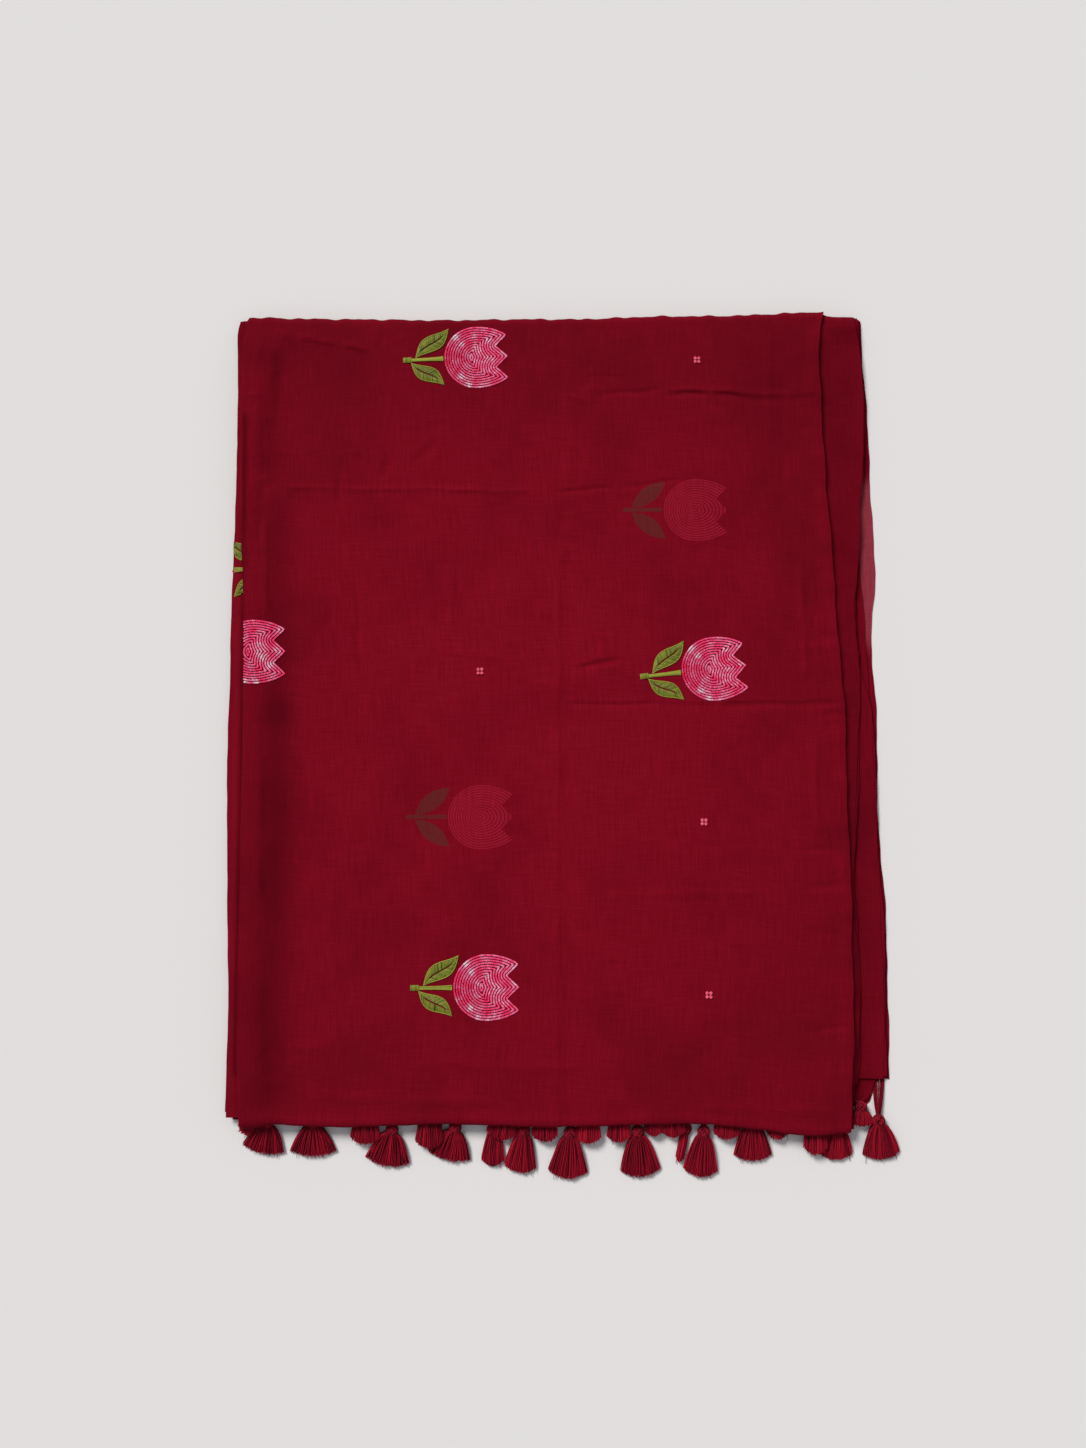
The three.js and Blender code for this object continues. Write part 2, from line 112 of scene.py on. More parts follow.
def new_material(name, **sockets):
    """A principled material with constants set straight on the shader's own sockets."""
    material = bpy.data.materials.new(name)
    material.use_nodes = True
    shader = material.node_tree.nodes["Principled BSDF"]
    for key, value in sockets.items():
        shader.inputs[key.replace("_", " ")].default_value = value
    return material, material.node_tree, shader


# %% Floor and light
FLOOR = {"colour": "#E6E5E4", "reach": 6.0, "height": -0.0002}
SKY = {"colour": "#F8F8FF", "strength": 0.36}
KEY = {"towards": (-0.75, 1.0, 1.1), "strength": 2.9, "softness": 20.0, "colour": "#FFFCF8"}


def studio():
    material, _, shader = new_material("painted_floor", Roughness=0.9, Specular_IOR_Level=0.2)
    shader.inputs["Base Color"].default_value = linear(FLOOR["colour"])
    mesh = bpy.data.meshes.new("floor")
    square = ((-1, -1), (1, -1), (1, 1), (-1, 1))
    corners = [(x * FLOOR["reach"], y * FLOOR["reach"], FLOOR["height"]) for x, y in square]
    mesh.from_pydata(corners, [], [(0, 1, 2, 3)])
    mesh.materials.append(material)
    new_object("floor", mesh)

    world = bpy.data.worlds.new("even_sky")
    world.use_nodes = True
    background = world.node_tree.nodes["Background"]
    background.inputs["Color"].default_value = linear(SKY["colour"])
    background.inputs["Strength"].default_value = SKY["strength"]
    bpy.context.scene.world = world

    lamp = bpy.data.lights.new("window", "SUN")
    lamp.angle = math.radians(KEY["softness"])
    lamp.energy = KEY["strength"]
    lamp.color = linear(KEY["colour"])[:3]
    window = new_object("window", lamp)
    window.location = KEY["towards"]
    window.rotation_euler = window.location.to_track_quat("Z", "Y").to_euler()
    bpy.context.scene.view_settings.view_transform = "Standard"


studio()
print("floor and light ready")

# %% [markdown]
# ## How the cloth is described
#
# Seen from above, every edge of the folded cloth wanders by a few millimetres. Each edge is a short
# table of places along it, within a few millimetres of the one that the solids were made from, and
# a smooth curve is read through the rows. The folded section and its path are those of the solids:
# an outer layer, a turn at the left fold and an inner layer, carried from the front to the back.

# %% Sizes and outlines
PLY, PITCH, STACK = 1.0, 1.35, 15.0  # one layer, from layer to layer, and the whole pile
FRONT, BACK = -388.0, 390.0
FRONT_FOLD = {"radius": 2.6, "tuck": 31.0, "clear": 8}
BACK_RADIUS = STACK / 2
BACK_MIDDLE = BACK - BACK_RADIUS
SEAM = 0.3  # what stays open where the top stretch and the pallu meet behind the pile
PARTING = math.degrees(math.asin(SEAM / 2 / (BACK_RADIUS - PLY - PITCH)))

# Each edge is a table of rows. The folds and selvedges give x at each y, the edges give y at each x.
TOP_LEFT_FOLD = [
    (-385, -283), (-345, -286), (-276, -287), (71, -288), (169, -292), (262, -295), (366, -293.5),
    (380, -292.5), (391, -290),
]
TOP_UPPER_SELVEDGE = [
    (-389, 288), (-345, 289), (-271, 291.5), (-206, 292), (-130, 290.6), (-26, 289), (51, 286),
    (120, 281), (198, 277), (238, 275), (308, 271), (379, 274.5), (396, 281),
]
TOP_LOWER_SELVEDGE = [
    (-360, 291), (-310, 297), (-206, 295.6), (-165, 294.5), (-100, 299), (-30, 303),
    (33, 305.5), (100, 303), (155, 308), (200, 309), (230, 313), (268, 315.5),
    (320, 314.5), (355, 312.5), (375, 309), (388, 305.5),
]
PALLU_LEFT_FOLD = [
    (-372, -299), (-280, -298.3), (-83, -303.5), (110, -302.6), (278, -299.5), (368, -301.5),
    (382, -300.5), (391, -297),
]
PALLU_UPPER_SELVEDGE = [
    (-335, 325), (-200, 325.5), (-130, 322), (-30, 320), (60, 314), (150, 310.5), (220, 312),
    (268, 317), (388, 313),
]
PALLU_LOWER_SELVEDGE = [
    (-335, 327.5), (-210, 328.5), (-131, 324), (-55, 323), (20, 322.5), (66, 320.5), (134, 324.5),
    (268, 321), (387, 316.5),
]
FRONT_EDGE = [
    (-292, -380), (-283, -385), (-250, -385.2), (-222, -387.6), (-70, -386), (16, -388), (60, -387),
    (100, -386), (140, -385.5), (205, -391.5), (235, -395), (270, -395.5), (289, -392),
]
BACK_EDGE = [
    (-300, 392.5), (-290, 393), (-280, 393.2), (-230, 392.3), (-165, 391), (-120, 390.6), (0, 391.7),
    (30, 391.9), (60, 392.8), (110, 394.2), (140, 394.4), (190, 395.5), (225, 397), (262, 398.2),
    (278, 397.6), (282, 396.2), (290, 396.3), (303, 396.8), (309, 396.5), (315, 395.5),
]
PALLU_END = [
    (-299, -374), (-275, -367), (-240, -353), (-150, -350), (262, -350), (280, -363), (291, -371),
    (303, -371.5), (310, -366), (314, -353), (318, -348), (325, -346),
]
UPPER_END_SHORT = 5.5  # how far the pallu's upper layer ends behind its lower one
NOMINAL_END, END_EASE = -350.0, 100.0  # where the pallu ends in its grid, and what the true end bends


def read(rows, at):
    """A smooth line through a table's rows, held level past both ends."""
    known, value = np.array(rows, float).T
    at = np.clip(at, known[0], known[-1])
    i = np.clip(np.searchsorted(known, at) - 1, 0, len(known) - 2)
    rise = np.diff(value) / np.diff(known)
    slope = np.concatenate([rise[:1], (rise[1:] + rise[:-1]) / 2, rise[-1:]])
    step = known[i + 1] - known[i]
    s = (at - known[i]) / step
    start = (2 * s**3 - 3 * s**2 + 1) * value[i] + (s**3 - 2 * s**2 + s) * step * slope[i]
    return start + (3 * s**2 - 2 * s**3) * value[i + 1] + (s**3 - s**2) * step * slope[i + 1]


def smooth(low, high, at):
    s = np.clip((at - low) / (high - low), 0, 1)
    return s * s * (3 - 2 * s)


def wobble(at, seed, lengths=(150, 61, 27), depths=(0.9, 0.5, 0.22)):
    """Unevenness along an edge: a few waves of unlike length, the same on each run."""
    phases = np.random.default_rng(seed).uniform(0, 2 * np.pi, len(lengths))
    waves = zip(lengths, depths, phases)
    return sum(depth * np.sin(2 * np.pi * at / length + phase) for length, depth, phase in waves)


HIDDEN = {"bottom": 2.65, "top": 12.35, "stretches": 6, "thickness": 0.5}
DRAPE = {
    "right": 0.5, "right_width": 26.0, "under": 4.0, "left": 0.32, "left_width": 11.0, "rear": (386, 366),
}
DENSITY_STEPS = 4000


def drape(x, y, z):
    """Layers that reach out past the top stretch have nothing on them, and sink towards the floor."""
    right = np.clip((x - read(TOP_UPPER_SELVEDGE, y) + DRAPE["under"]) / DRAPE["right_width"], 0, 1)
    left = np.clip((read(TOP_LEFT_FOLD, y) + 1 - x) / DRAPE["left_width"], 0, 1.2)
    sink = DRAPE["right"] * (1 - (1 - right) ** 1.6) + DRAPE["left"] * left**2
    sink = sink * smooth(*DRAPE["rear"], y)
    return z - np.maximum(z - HIDDEN["bottom"], 0) * sink


def graded(low, high, count, places=(), reach=6.0, extra=3.0):
    """Grid lines that stand closer together near the places given."""
    fine = np.linspace(low, high, DENSITY_STEPS)
    density = np.ones_like(fine)
    for place in places:
        density += extra * np.exp(-(((fine - place) / reach) ** 2))
    total = np.concatenate([[0], np.cumsum((density[1:] + density[:-1]) / 2)])
    return np.interp(np.linspace(0, total[-1], count), total, fine)


print("front edge at the middle:", float(read(FRONT_EDGE, 0.0)))

# %% [markdown]
# ## A folded wall of cloth
#
# Cloth could be one sheet given thickness by a Solidify modifier, but a sheet that turns back on
# itself within a millimetre or two pinches there. Here the section's two faces are worked out
# together. The outer face is a fine grid, so that creases have a smooth form, and the inner face,
# which nobody sees, may be a coarser one. Faces with a few more corners close the rim.

# %% Section, path and shell
UNEVEN_SIDES = (0.45, 0.8, 0.8)  # of the left fold and of the two selvedges
NOSE_EASE = 10
SHARP_ANGLE = math.radians(50)


def section_of(outer, inner, pitch, steps):
    """Outer layer from its selvedge (1) to the left fold (0), round it, and back on the inner one."""
    angle = np.pi * np.arange(1, steps) / steps
    radius = pitch / 2
    columns = {
        "across": (outer, 0 * angle, inner),
        "height": (0 * outer, radius * (1 - np.cos(angle)), 0 * inner + pitch),
        "bulge": (0 * outer, radius * np.sin(angle), 0 * inner),
        "nx": (0 * outer, -np.sin(angle), 0 * inner),
        "nh": (0 * outer - 1, -np.cos(angle), 0 * inner + 1),
        "layer": (0 * outer, (1 - np.cos(angle)) / 2, 0 * inner + 1),
    }
    return {name: np.concatenate(parts) for name, parts in columns.items()}


def flat_run(ys, z, inward):
    """Level cloth at the given places along the stack. inward is the way to its inner layer."""
    zero = 0 * ys
    return np.stack([ys, zero + z, zero, zero + inward, zero], 1)


def arc_run(centre_y, centre_z, radius, start, end, steps, back=False):
    """Cloth that turns round a fold. Angles are from +Y towards +Z, in degrees."""
    angle = np.radians(np.linspace(start, end, steps))
    c, s = np.cos(angle), np.sin(angle)
    return np.stack([centre_y + radius * c, centre_z + radius * s, -c, -s, c * back], 1)


def cloth_grid(section, path, sides, shift, offset, lift=None):
    """Points of one face of the wall. offset is how far it lies outside the wall's middle."""
    y, z, ny, nz, turn = path.T[:, :, None]
    part = {name: values[None, :] for name, values in section.items()}
    radius = section["height"].max() / 2
    # near the nose of the back fold a stretch's sides run over to those of the stretch it meets there
    left, outer_right, inner_right = (
        read(own, y) + (read(other, y) - read(own, y)) * turn**NOSE_EASE + rough * wobble(y, seed)
        for (own, other, seed), rough in zip(sides, UNEVEN_SIDES)
    )
    right = outer_right + (inner_right - outer_right) * part["layer"]
    x = left + radius + (right - left - radius) * part["across"]
    push = offset(x, y, part) if callable(offset) else offset
    height = part["height"] + push * part["nh"]
    place_y = y + shift(x, y, part["layer"])
    if lift is not None:
        height = height - (1 - part["layer"]) ** 2 * lift(x, place_y)
    return np.stack([x - part["bulge"] + push * part["nx"], place_y + ny * height, z + nz * height], -1)


def shell(front, back, step):
    """Faces of a closed wall between a fine grid and one with every step-th line of it."""
    fine = np.arange(front[..., 0].size).reshape(front.shape[:2])
    coarse = fine.size + np.arange(back[..., 0].size).reshape(back.shape[:2])

    def quads(g):
        return np.stack([g[:-1, :-1], g[:-1, 1:], g[1:, 1:], g[1:, :-1]], -1).reshape(-1, 4)

    faces = quads(fine).tolist() + quads(coarse)[:, ::-1].tolist()
    rims = (
        (fine[0], coarse[0]), (fine[:, -1], coarse[:, -1]),
        (fine[-1, ::-1], coarse[-1, ::-1]), (fine[::-1, 0], coarse[::-1, 0]),
    )
    for near, far in rims:
        for i in range(len(far) - 1):
            run = near[i * step:(i + 1) * step + 1]
            faces.append([*run[::-1].tolist(), int(far[i]), int(far[i + 1])])
    return np.concatenate([front.reshape(-1, 3), back.reshape(-1, 3)]), faces


def cloth_uv(grid):
    """Millimetres along the cloth's own width and length, from the spacing of its grid."""
    across = np.linalg.norm(np.diff(grid, axis=1), axis=2)
    along = np.linalg.norm(np.diff(grid, axis=0), axis=2)
    u = np.concatenate([np.zeros((len(grid), 1)), np.cumsum(across, 1)], 1)
    v = np.concatenate([np.zeros((1, grid.shape[1])), np.cumsum(along, 0)], 0)
    return np.stack([u, v], -1).reshape(-1, 2)


# x1 y1 x2 y2 amount width: painted shade along lines, in broad dark bands and in the shade of an edge
PAINTED_SHADE_LINES = [
    (-261, 350, -266, 230, 0.32, 7), (-258, 200, -255, 0, 0.3, 15), (-255, 0, -256, -350, 0.42, 20),
    (-290.5, 290, -288.5, -340, 0.75, 2.6), (-290, 360, -200, 352, 0.22, 22),
    (-180, 330, 250, 330, 0.12, 60), (300, 370, 300, -340, 0.2, 16),
]


def painted_shade_at(points):
    """How much painted shade each point gets, from the lines in the table."""
    x, y = points[:, 0], points[:, 1]
    total = np.zeros(len(x))
    for x1, y1, x2, y2, amount, width in PAINTED_SHADE_LINES:
        dx, dy = x2 - x1, y2 - y1
        s = np.clip(((x - x1) * dx + (y - y1) * dy) / (dx**2 + dy**2), 0, 1)
        total += amount * np.exp(-((np.hypot(x - x1 - s * dx, y - y1 - s * dy) / width) ** 2))
    return total


def set_values(mesh, name, values):
    """Gives each point of a mesh its own number."""
    data = mesh.attributes.new(name, "FLOAT", "POINT").data
    data.foreach_set("value", values.astype(np.float32))


def cloth_mesh(walls, material):
    """One mesh of several closed walls, each (front, back, step), with the cloth's own UV map."""
    points, faces, uvs = [], [], []
    count = 0
    for front, back, step in walls:
        own_points, own_faces = shell(front, back, step)
        points.append(own_points)
        uvs += [cloth_uv(front), cloth_uv(back)]
        faces += [[i + count for i in face] for face in own_faces]
        count += len(own_points)
    mesh = bpy.data.meshes.new("cloth")
    points, uvs = np.concatenate(points), np.concatenate(uvs)
    mesh.from_pydata((points * MM).tolist(), [], faces)
    mesh.materials.append(material)
    # painted shade along the lines of the table, kept on each point
    set_values(mesh, "painted_shade", painted_shade_at(points))
    layer = mesh.uv_layers.new(name="weave")
    corners = np.zeros(len(mesh.loops), np.int32)
    mesh.loops.foreach_get("vertex_index", corners)
    layer.data.foreach_set("uv", (uvs[corners] * MM).ravel())
    mesh.shade_smooth()
    mesh.set_sharp_from_angle(angle=SHARP_ANGLE)
    return mesh


def solid_piece(name, mesh, nodes=()):
    """Puts a finished mesh in the scene as a piece that rides on the sari."""
    piece = new_object(name, mesh)
    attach(piece, "root")
    if nodes:
        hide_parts(*nodes)
    mesh.calc_loop_triangles()
    print(name, len(mesh.loop_triangles), "triangles")
    return piece


# %% [markdown]
# ## The cloth itself
#
# The cloth is a fine handloom weave of cotton and silk, piece-dyed maroon. It is nearly matt: the
# fibres give only a faint sheen at a low angle. Its yarns are uneven, so short slubs show as lighter
# and darker streaks along both directions, one to three millimetres wide and a few centimetres long.
# Where only a single layer lies over the floor, the floor shines through and the red turns lighter.
# The top layer is just sheer enough for the embroidery of the layer below it to show as a shadow.

# %% Cloth material
CLOTH = {"deep": "#740719", "mid": "#7E0A1E", "bright": "#880D25"}
# SHADED is the red that random darker patches and the painted shade mix towards
SHADED, OVER_FLOOR = "#580412", "#953946"
GHOST = (("petal", "#A21D36", 0.95), ("leaf", "#542A25", 0.8))
SLUB = {"width": 1.4, "length": 30.0, "share": 0.42}
NOISE = {"Detail": 2.0, "Roughness": 0.6}
PATCH = 90.0  # how far apart lighter and darker areas lie
WORN = {"From Min": 0.56, "From Max": 0.3, "To Max": 0.3}  # from the noise of those areas
# painted falloff of light: the red is painted darker away from a well-lit middle
PAINTED_FALLOFF = {"middle": (-30, 0), "reach": (300, 400)}
AWAY = {"From Min": 0.3, "From Max": 1.25, "To Max": 0.36}
UNEVEN = {"From Min": 0.3, "From Max": 0.7, "To Min": 0.5, "To Max": 1.0}  # how dense the yarns lie
THREAD_PITCH = 1.1  # real yarns lie 0.25 mm apart: drawn coarser, so that the weave shows at all
SEE_THROUGH = [(147.8, 198.2), (-60, -99.5)]  # flowers on the layer beneath, middle of each cup
CUP_RADIUS, ROW_PITCH = 30.4, 2.45
# Each row is one sum on the place about the cup: its name, the operation and what it works on. The
# leaves are even lenses about a line that leans away from the stem on both sides.
SHADOW_SUMS = [
    ("forward", "MAXIMUM", "x", 0.0), ("flattened", "MULTIPLY", "forward", -0.3),
    ("reach", "ADD", "x", "flattened"), ("reach2", "MULTIPLY", "reach", "reach"),
    ("y2", "MULTIPLY", "y", "y"), ("r2", "ADD", "reach2", "y2"), ("radius", "SQRT", "r2"),
    ("round", "LESS_THAN", "radius", CUP_RADIUS), ("zigzag", "PINGPONG", "y", 11.0),
    ("points", "SUBTRACT", 31.4, "zigzag"), ("behind", "LESS_THAN", "x", "points"),
    ("cup", "MULTIPLY", "round", "behind"), ("phase", "MULTIPLY", "radius", 2 * math.pi / ROW_PITCH),
    ("wave", "SINE", "phase"), ("rows", "MULTIPLY_ADD", "wave", 0.45, 0.5),
    ("petal", "MULTIPLY", "cup", "rows"), ("side", "ABSOLUTE", "y"),
    ("along_x", "MULTIPLY_ADD", "x", 0.788, 47.0), ("along", "MULTIPLY_ADD", "side", 0.616, "along_x"),
    ("across_x", "MULTIPLY_ADD", "x", -0.616, -39.9),
    ("across", "MULTIPLY_ADD", "side", 0.788, "across_x"), ("share", "DIVIDE", "along", 41.3),
    ("rest", "SUBTRACT", 1.0, "share"), ("swell", "MULTIPLY", "share", "rest"),
    ("half", "MULTIPLY", "swell", 31.0), ("off", "ABSOLUTE", "across"),
    ("leaves", "LESS_THAN", "off", "half"),
    ("stem_side", "COMPARE", "y", 0.3, 1.9), ("stem_run", "COMPARE", "x", -51.0, 19.0),
    ("stem", "MULTIPLY", "stem_side", "stem_run"), ("leaf", "MAXIMUM", "leaves", "stem"),
]


def flower_shadow(tree, centre):
    """Masks of a cup and its leaves that lie one layer down, from the place on the cloth."""
    place = add(tree, "ShaderNodeTexCoord").outputs["Object"]
    about = add(tree, "ShaderNodeVectorMath", {
        0: place, 1: (1000, 1000, 0), 2: (-centre[0], -centre[1], 0)}, operation="MULTIPLY_ADD")
    axes = add(tree, "ShaderNodeSeparateXYZ", {0: about.outputs[0]})
    known = {"x": axes.outputs["X"], "y": axes.outputs["Y"]}
    for name, operation, *inputs in SHADOW_SUMS:
        values = {i: known.get(value, value) for i, value in enumerate(inputs)}
        known[name] = add(tree, "ShaderNodeMath", values, operation=operation).outputs[0]
    return known


def set_ramp(node, stops):
    """Gives a colour ramp its stops. The first two take the places of the two that it has."""
    elements = node.color_ramp.elements
    for i, (position, tint) in enumerate(stops):
        element = elements[i] if i < 2 else elements.new(position)
        element.position, element.color = position, linear(tint)


def cloth_material(name, see_through=()):
    """Dyed cloth: slubs, painted shade, the layer beneath, and the floor where it is sheer."""
    material, tree, shader = new_material(
        name, Roughness=0.9, Specular_IOR_Level=0.03, Sheen_Weight=0.035, Sheen_Roughness=0.4)
    shader.inputs["Sheen Tint"].default_value = linear("#D0405A")
    uv = add(tree, "ShaderNodeUVMap", uv_map="weave").outputs["UV"]
    place = add(tree, "ShaderNodeTexCoord").outputs["Object"]
    wide, long = 1000 / SLUB["width"], 1000 / SLUB["length"]
    slubs = []
    for scale in ((wide, long, 1), (long, wide, 1)):
        stretched = add(tree, "ShaderNodeVectorMath", {0: uv, 1: scale}, operation="MULTIPLY")
        slubs.append(add(tree, "ShaderNodeTexNoise", {
            "Vector": stretched.outputs[0], "Scale": 1.0, **NOISE}, noise_dimensions="2D").outputs["Fac"])
    both = add(tree, "ShaderNodeMix", {"Factor": SLUB["share"], 2: slubs[0], 3: slubs[1]}).outputs[0]
    tone = add(tree, "ShaderNodeValToRGB", {"Fac": both})
    set_ramp(tone, ((0.3, CLOTH["deep"]), (0.7, CLOTH["bright"]), (0.5, CLOTH["mid"])))

    patches = add(tree, "ShaderNodeTexNoise", {
        "Vector": place, "Scale": 1000 / PATCH, "Detail": 3.0, "Roughness": 0.6}).outputs["Fac"]
    worn = add(tree, "ShaderNodeMapRange", {"Value": patches, **WORN}).outputs[0]
    # painted shade: darker away from the lit middle, and along the lines of the shade table
    (mid_x, mid_y), (reach_x, reach_y) = PAINTED_FALLOFF["middle"], PAINTED_FALLOFF["reach"]
    spread = add(tree, "ShaderNodeVectorMath", {
        0: place, 1: (1000 / reach_x, 1000 / reach_y, 0), 2: (-mid_x / reach_x, -mid_y / reach_y, 0)},
        operation="MULTIPLY_ADD")
    away = add(tree, "ShaderNodeVectorMath", {0: spread.outputs[0]}, operation="LENGTH").outputs["Value"]
    painted_shade = add(tree, "ShaderNodeMapRange", {"Value": away, **AWAY}).outputs[0]
    shade_from_lines = add(tree, "ShaderNodeAttribute", attribute_name="painted_shade").outputs["Fac"]
    edges = add(tree, "ShaderNodeMath", {0: painted_shade, 1: shade_from_lines}, operation="ADD").outputs[0]
    shaded = add(tree, "ShaderNodeMath", {0: worn, 1: edges}, operation="ADD").outputs[0]

    uneven = add(tree, "ShaderNodeMapRange", {"Value": both, **UNEVEN}).outputs[0]
    veils = [(shaded, SHADED)]
    for centre in see_through:
        masks = flower_shadow(tree, centre)
        for mask, tint, strength in GHOST:
            veiled = add(tree, "ShaderNodeMath", {0: masks[mask], 1: uneven}, operation="MULTIPLY")
            factor = add(tree, "ShaderNodeMath", {
                0: veiled.outputs[0], 1: strength}, operation="MULTIPLY")
            veils.append((factor.outputs[0], tint))
    sheer = add(tree, "ShaderNodeAttribute", attribute_name="sheer").outputs["Fac"]
    thin = add(tree, "ShaderNodeMath", {0: sheer, 1: uneven}, operation="MULTIPLY").outputs[0]
    colour = tone.outputs["Color"]
    for factor, tint in [*veils, (thin, OVER_FLOOR)]:
        colour = add(tree, "ShaderNodeMix", {
            "Factor": factor, 6: colour, 7: linear(tint)}, data_type="RGBA").outputs[2]
    tree.links.new(colour, shader.inputs["Base Color"])

    per_metre = math.pi / (THREAD_PITCH * MM)
    threads = add(tree, "ShaderNodeVectorMath", {0: uv, 1: (per_metre, per_metre, 0)}, operation="MULTIPLY")
    waves = add(tree, "ShaderNodeVectorMath", {0: threads.outputs[0]}, operation="SINE").outputs[0]
    weave = add(tree, "ShaderNodeVectorMath", {0: waves, 1: waves}, operation="DOT_PRODUCT")
    relief = add(tree, "ShaderNodeMath", {
        0: both, 1: 3.5, 2: weave.outputs["Value"]}, operation="MULTIPLY_ADD")
    bump = add(tree, "ShaderNodeBump", {"Height": relief.outputs[0], "Distance": 0.0001, "Strength": 0.6})
    tree.links.new(bump.outputs["Normal"], shader.inputs["Normal"])
    return material


HANDLOOM_TOP = cloth_material("handloom_cotton_silk_top", SEE_THROUGH)
HANDLOOM = cloth_material("handloom_cotton_silk")
print("cloth materials:", HANDLOOM_TOP.name, HANDLOOM.name)

# %% [markdown]
# ## The top stretch
#
# The stretch that shows is doubled at its left and turns under at the front and at the back. It has
# lain folded for long, so press folds cross it, and handling has added short creases. Cloth
# simulation would settle such creases anywhere; listed one by one they stay where they belong. Each
# crease is a soft trough or ridge along a line, uneven in depth, and a very slow swell keeps the
# surface from looking ironed.

# %% Creases of the top stretch
# x1 y1 x2 y2 height width: from one end to the other, above zero a ridge, below zero a trough
CREASES = [
    (19, 392, 15, 149, -0.35, 3), (15, 149, 12, -392, 0.45, 3),  # press fold down the length
    (27, 392, 23, 149, 0.5, 5), (26, 149, 24, -392, -0.55, 7),
    (-279, 372, -281, 240, 0.8, 6), (-240, 60, -244, -330, -0.9, 16),
    (119, 313, 165, 314, -1.4, 2.2), (165, 314, 239, 307, -1.8, 2.2), (239, 307, 272, 311, -1.5, 2.2),
    (52, 313, 119, 319, -0.94, 2.6), (119, 319, 250, 313, 0.68, 3), (13, 215, 73, 221, -0.9, 2.4),
    (73, 221, 138, 229, -1, 2.4), (24, 315, 47, 303, 1.2, 2.5), (37, 316, 45, 330, -1.4, 2.4),
    (45, 330, 53, 334, -1.2, 2.4), (53, 334, 80, 328, -0.8, 2.8), (25, 236, 36, 241, 1, 2.4),
    (36, 241, 47, 239, 1, 2.4), (19, 211, 22, 180, -1.6, 2.6), (22, 180, 26, 134, -1.2, 2.8),
    (-85, 250, -77, 256, 1, 2.3), (-258, 338, -265, 290, -3.2, 4.5),
    (-265, 290, -271, 228, -3, 4.5), (-271, 228, -276, 160, -1.4, 4.5),
    (-266, 376, -244, 372, 1.2, 2.8), (-244, 372, -200, 364, 1.4, 2.8),
    (-200, 364, -169, 356, 1.2, 2.8), (-262, 362, -215, 352, -0.9, 6),
    (-289, 311, -276, 313, 1.2, 2.2), (-162, 388, -168, 358, 0.94, 2.6), (-196, 251, -201, 196, -1.5, 2.6),
    (-150, 253, -158, 226, -1.4, 2.6), (-251, 221, -10, 217, 0.68, 2.5), (-181, 134, -174, 30, -0.94, 3.2),
    (-230, -45, -223, -114, -1.4, 4), (-243, -291, -241, -334, -1.6, 2.8), (-256, -229, -252, -349, -1.6, 7),
    (22, 9, 170, 7, -0.94, 2.2), (170, 7, 287, 10, -1.9, 2.3), (262, -1, 318, 0, -1.2, 2.4),
    (30, 43, 76, 52, -1.8, 2.3), (16, 18, 38, 18, -1.4, 2.4), (54, -174, 205, -171, 0.68, 2.8),
    (244, -129, 288, -131, -1.1, 3), (243, -166, 289, -164, -1.1, 3), (252, -299, 290, -296, -1.2, 3),
    (-134, 238, -101, 268, -0.81, 3), (-275, -317, -200, -313, 0.81, 3), (-227, -360, -40, -366, 0.68, 4),
    (147, -370, 287, -375, 0.68, 4), (-90, 149, -88, 71, 0.68, 3.5), (223, 379, 219, 238, 0.81, 3.5),
    (249, 149, 253, 32, 0.94, 3.5), (260, -26, 261, -121, 0.94, 3.5), (265, 380, 258, 250, 0.81, 3),
    (236, 330, 233, 190, -0.68, 3.5), (-95, 60, -40, 52, 0.68, 3), (-60, 196, -20, 214, -0.68, 3),
    (100, 120, 96, -20, 0.47, 4), (60, -60, 58, -200, -0.47, 4), (-200, -150, -196, -260, 0.54, 4),
    (180, -200, 182, -330, 0.54, 4), (-120, -330, 40, -334, 0.54, 3.5), (-270, 190, -266, 90, 0.81, 4),
    (-272, -10, -268, -180, 0.81, 4), (246, -205, 290, -214, -0.94, 2.8), (228, 60, 288, 66, 0.81, 2.8),
]
# troughs level out before they meet the layer below
RELIEF = {"base": 0.6, "deepest": 1.15, "creases": 1.6}
# the left fold stands up as a soft roll, and the front edge has a low crest and droops over the fold
LEFT_ROLL = {"height": 4.2, "from": -285.0, "to": -238.0, "rear": (388, 350)}
ROLL = {"crest": 0.8, "at": 4.5, "width": 5.0, "droop": 0.7, "reach": 3.5}
HEM = {"height": 1.3, "dip": 0.5, "width": 13, "ripple": 0.5}  # along the upper selvedge
END_EASING = 12  # millimetres over which a crease fades in and out


def swell(x, y):
    """The slow unevenness of cloth that isn't ironed, and a finer one beside the left fold."""
    slow = 0.4 * np.sin(x / 47 + 1.3) * np.sin(y / 71 + 0.4) + 0.25 * np.sin(x / 23 - y / 39)
    finer = 0.2 * np.sin(x / 11 + y / 83 + 2) * np.sin(y / 29 + x / 61)
    return slow + finer * smooth(-120, -240, x)


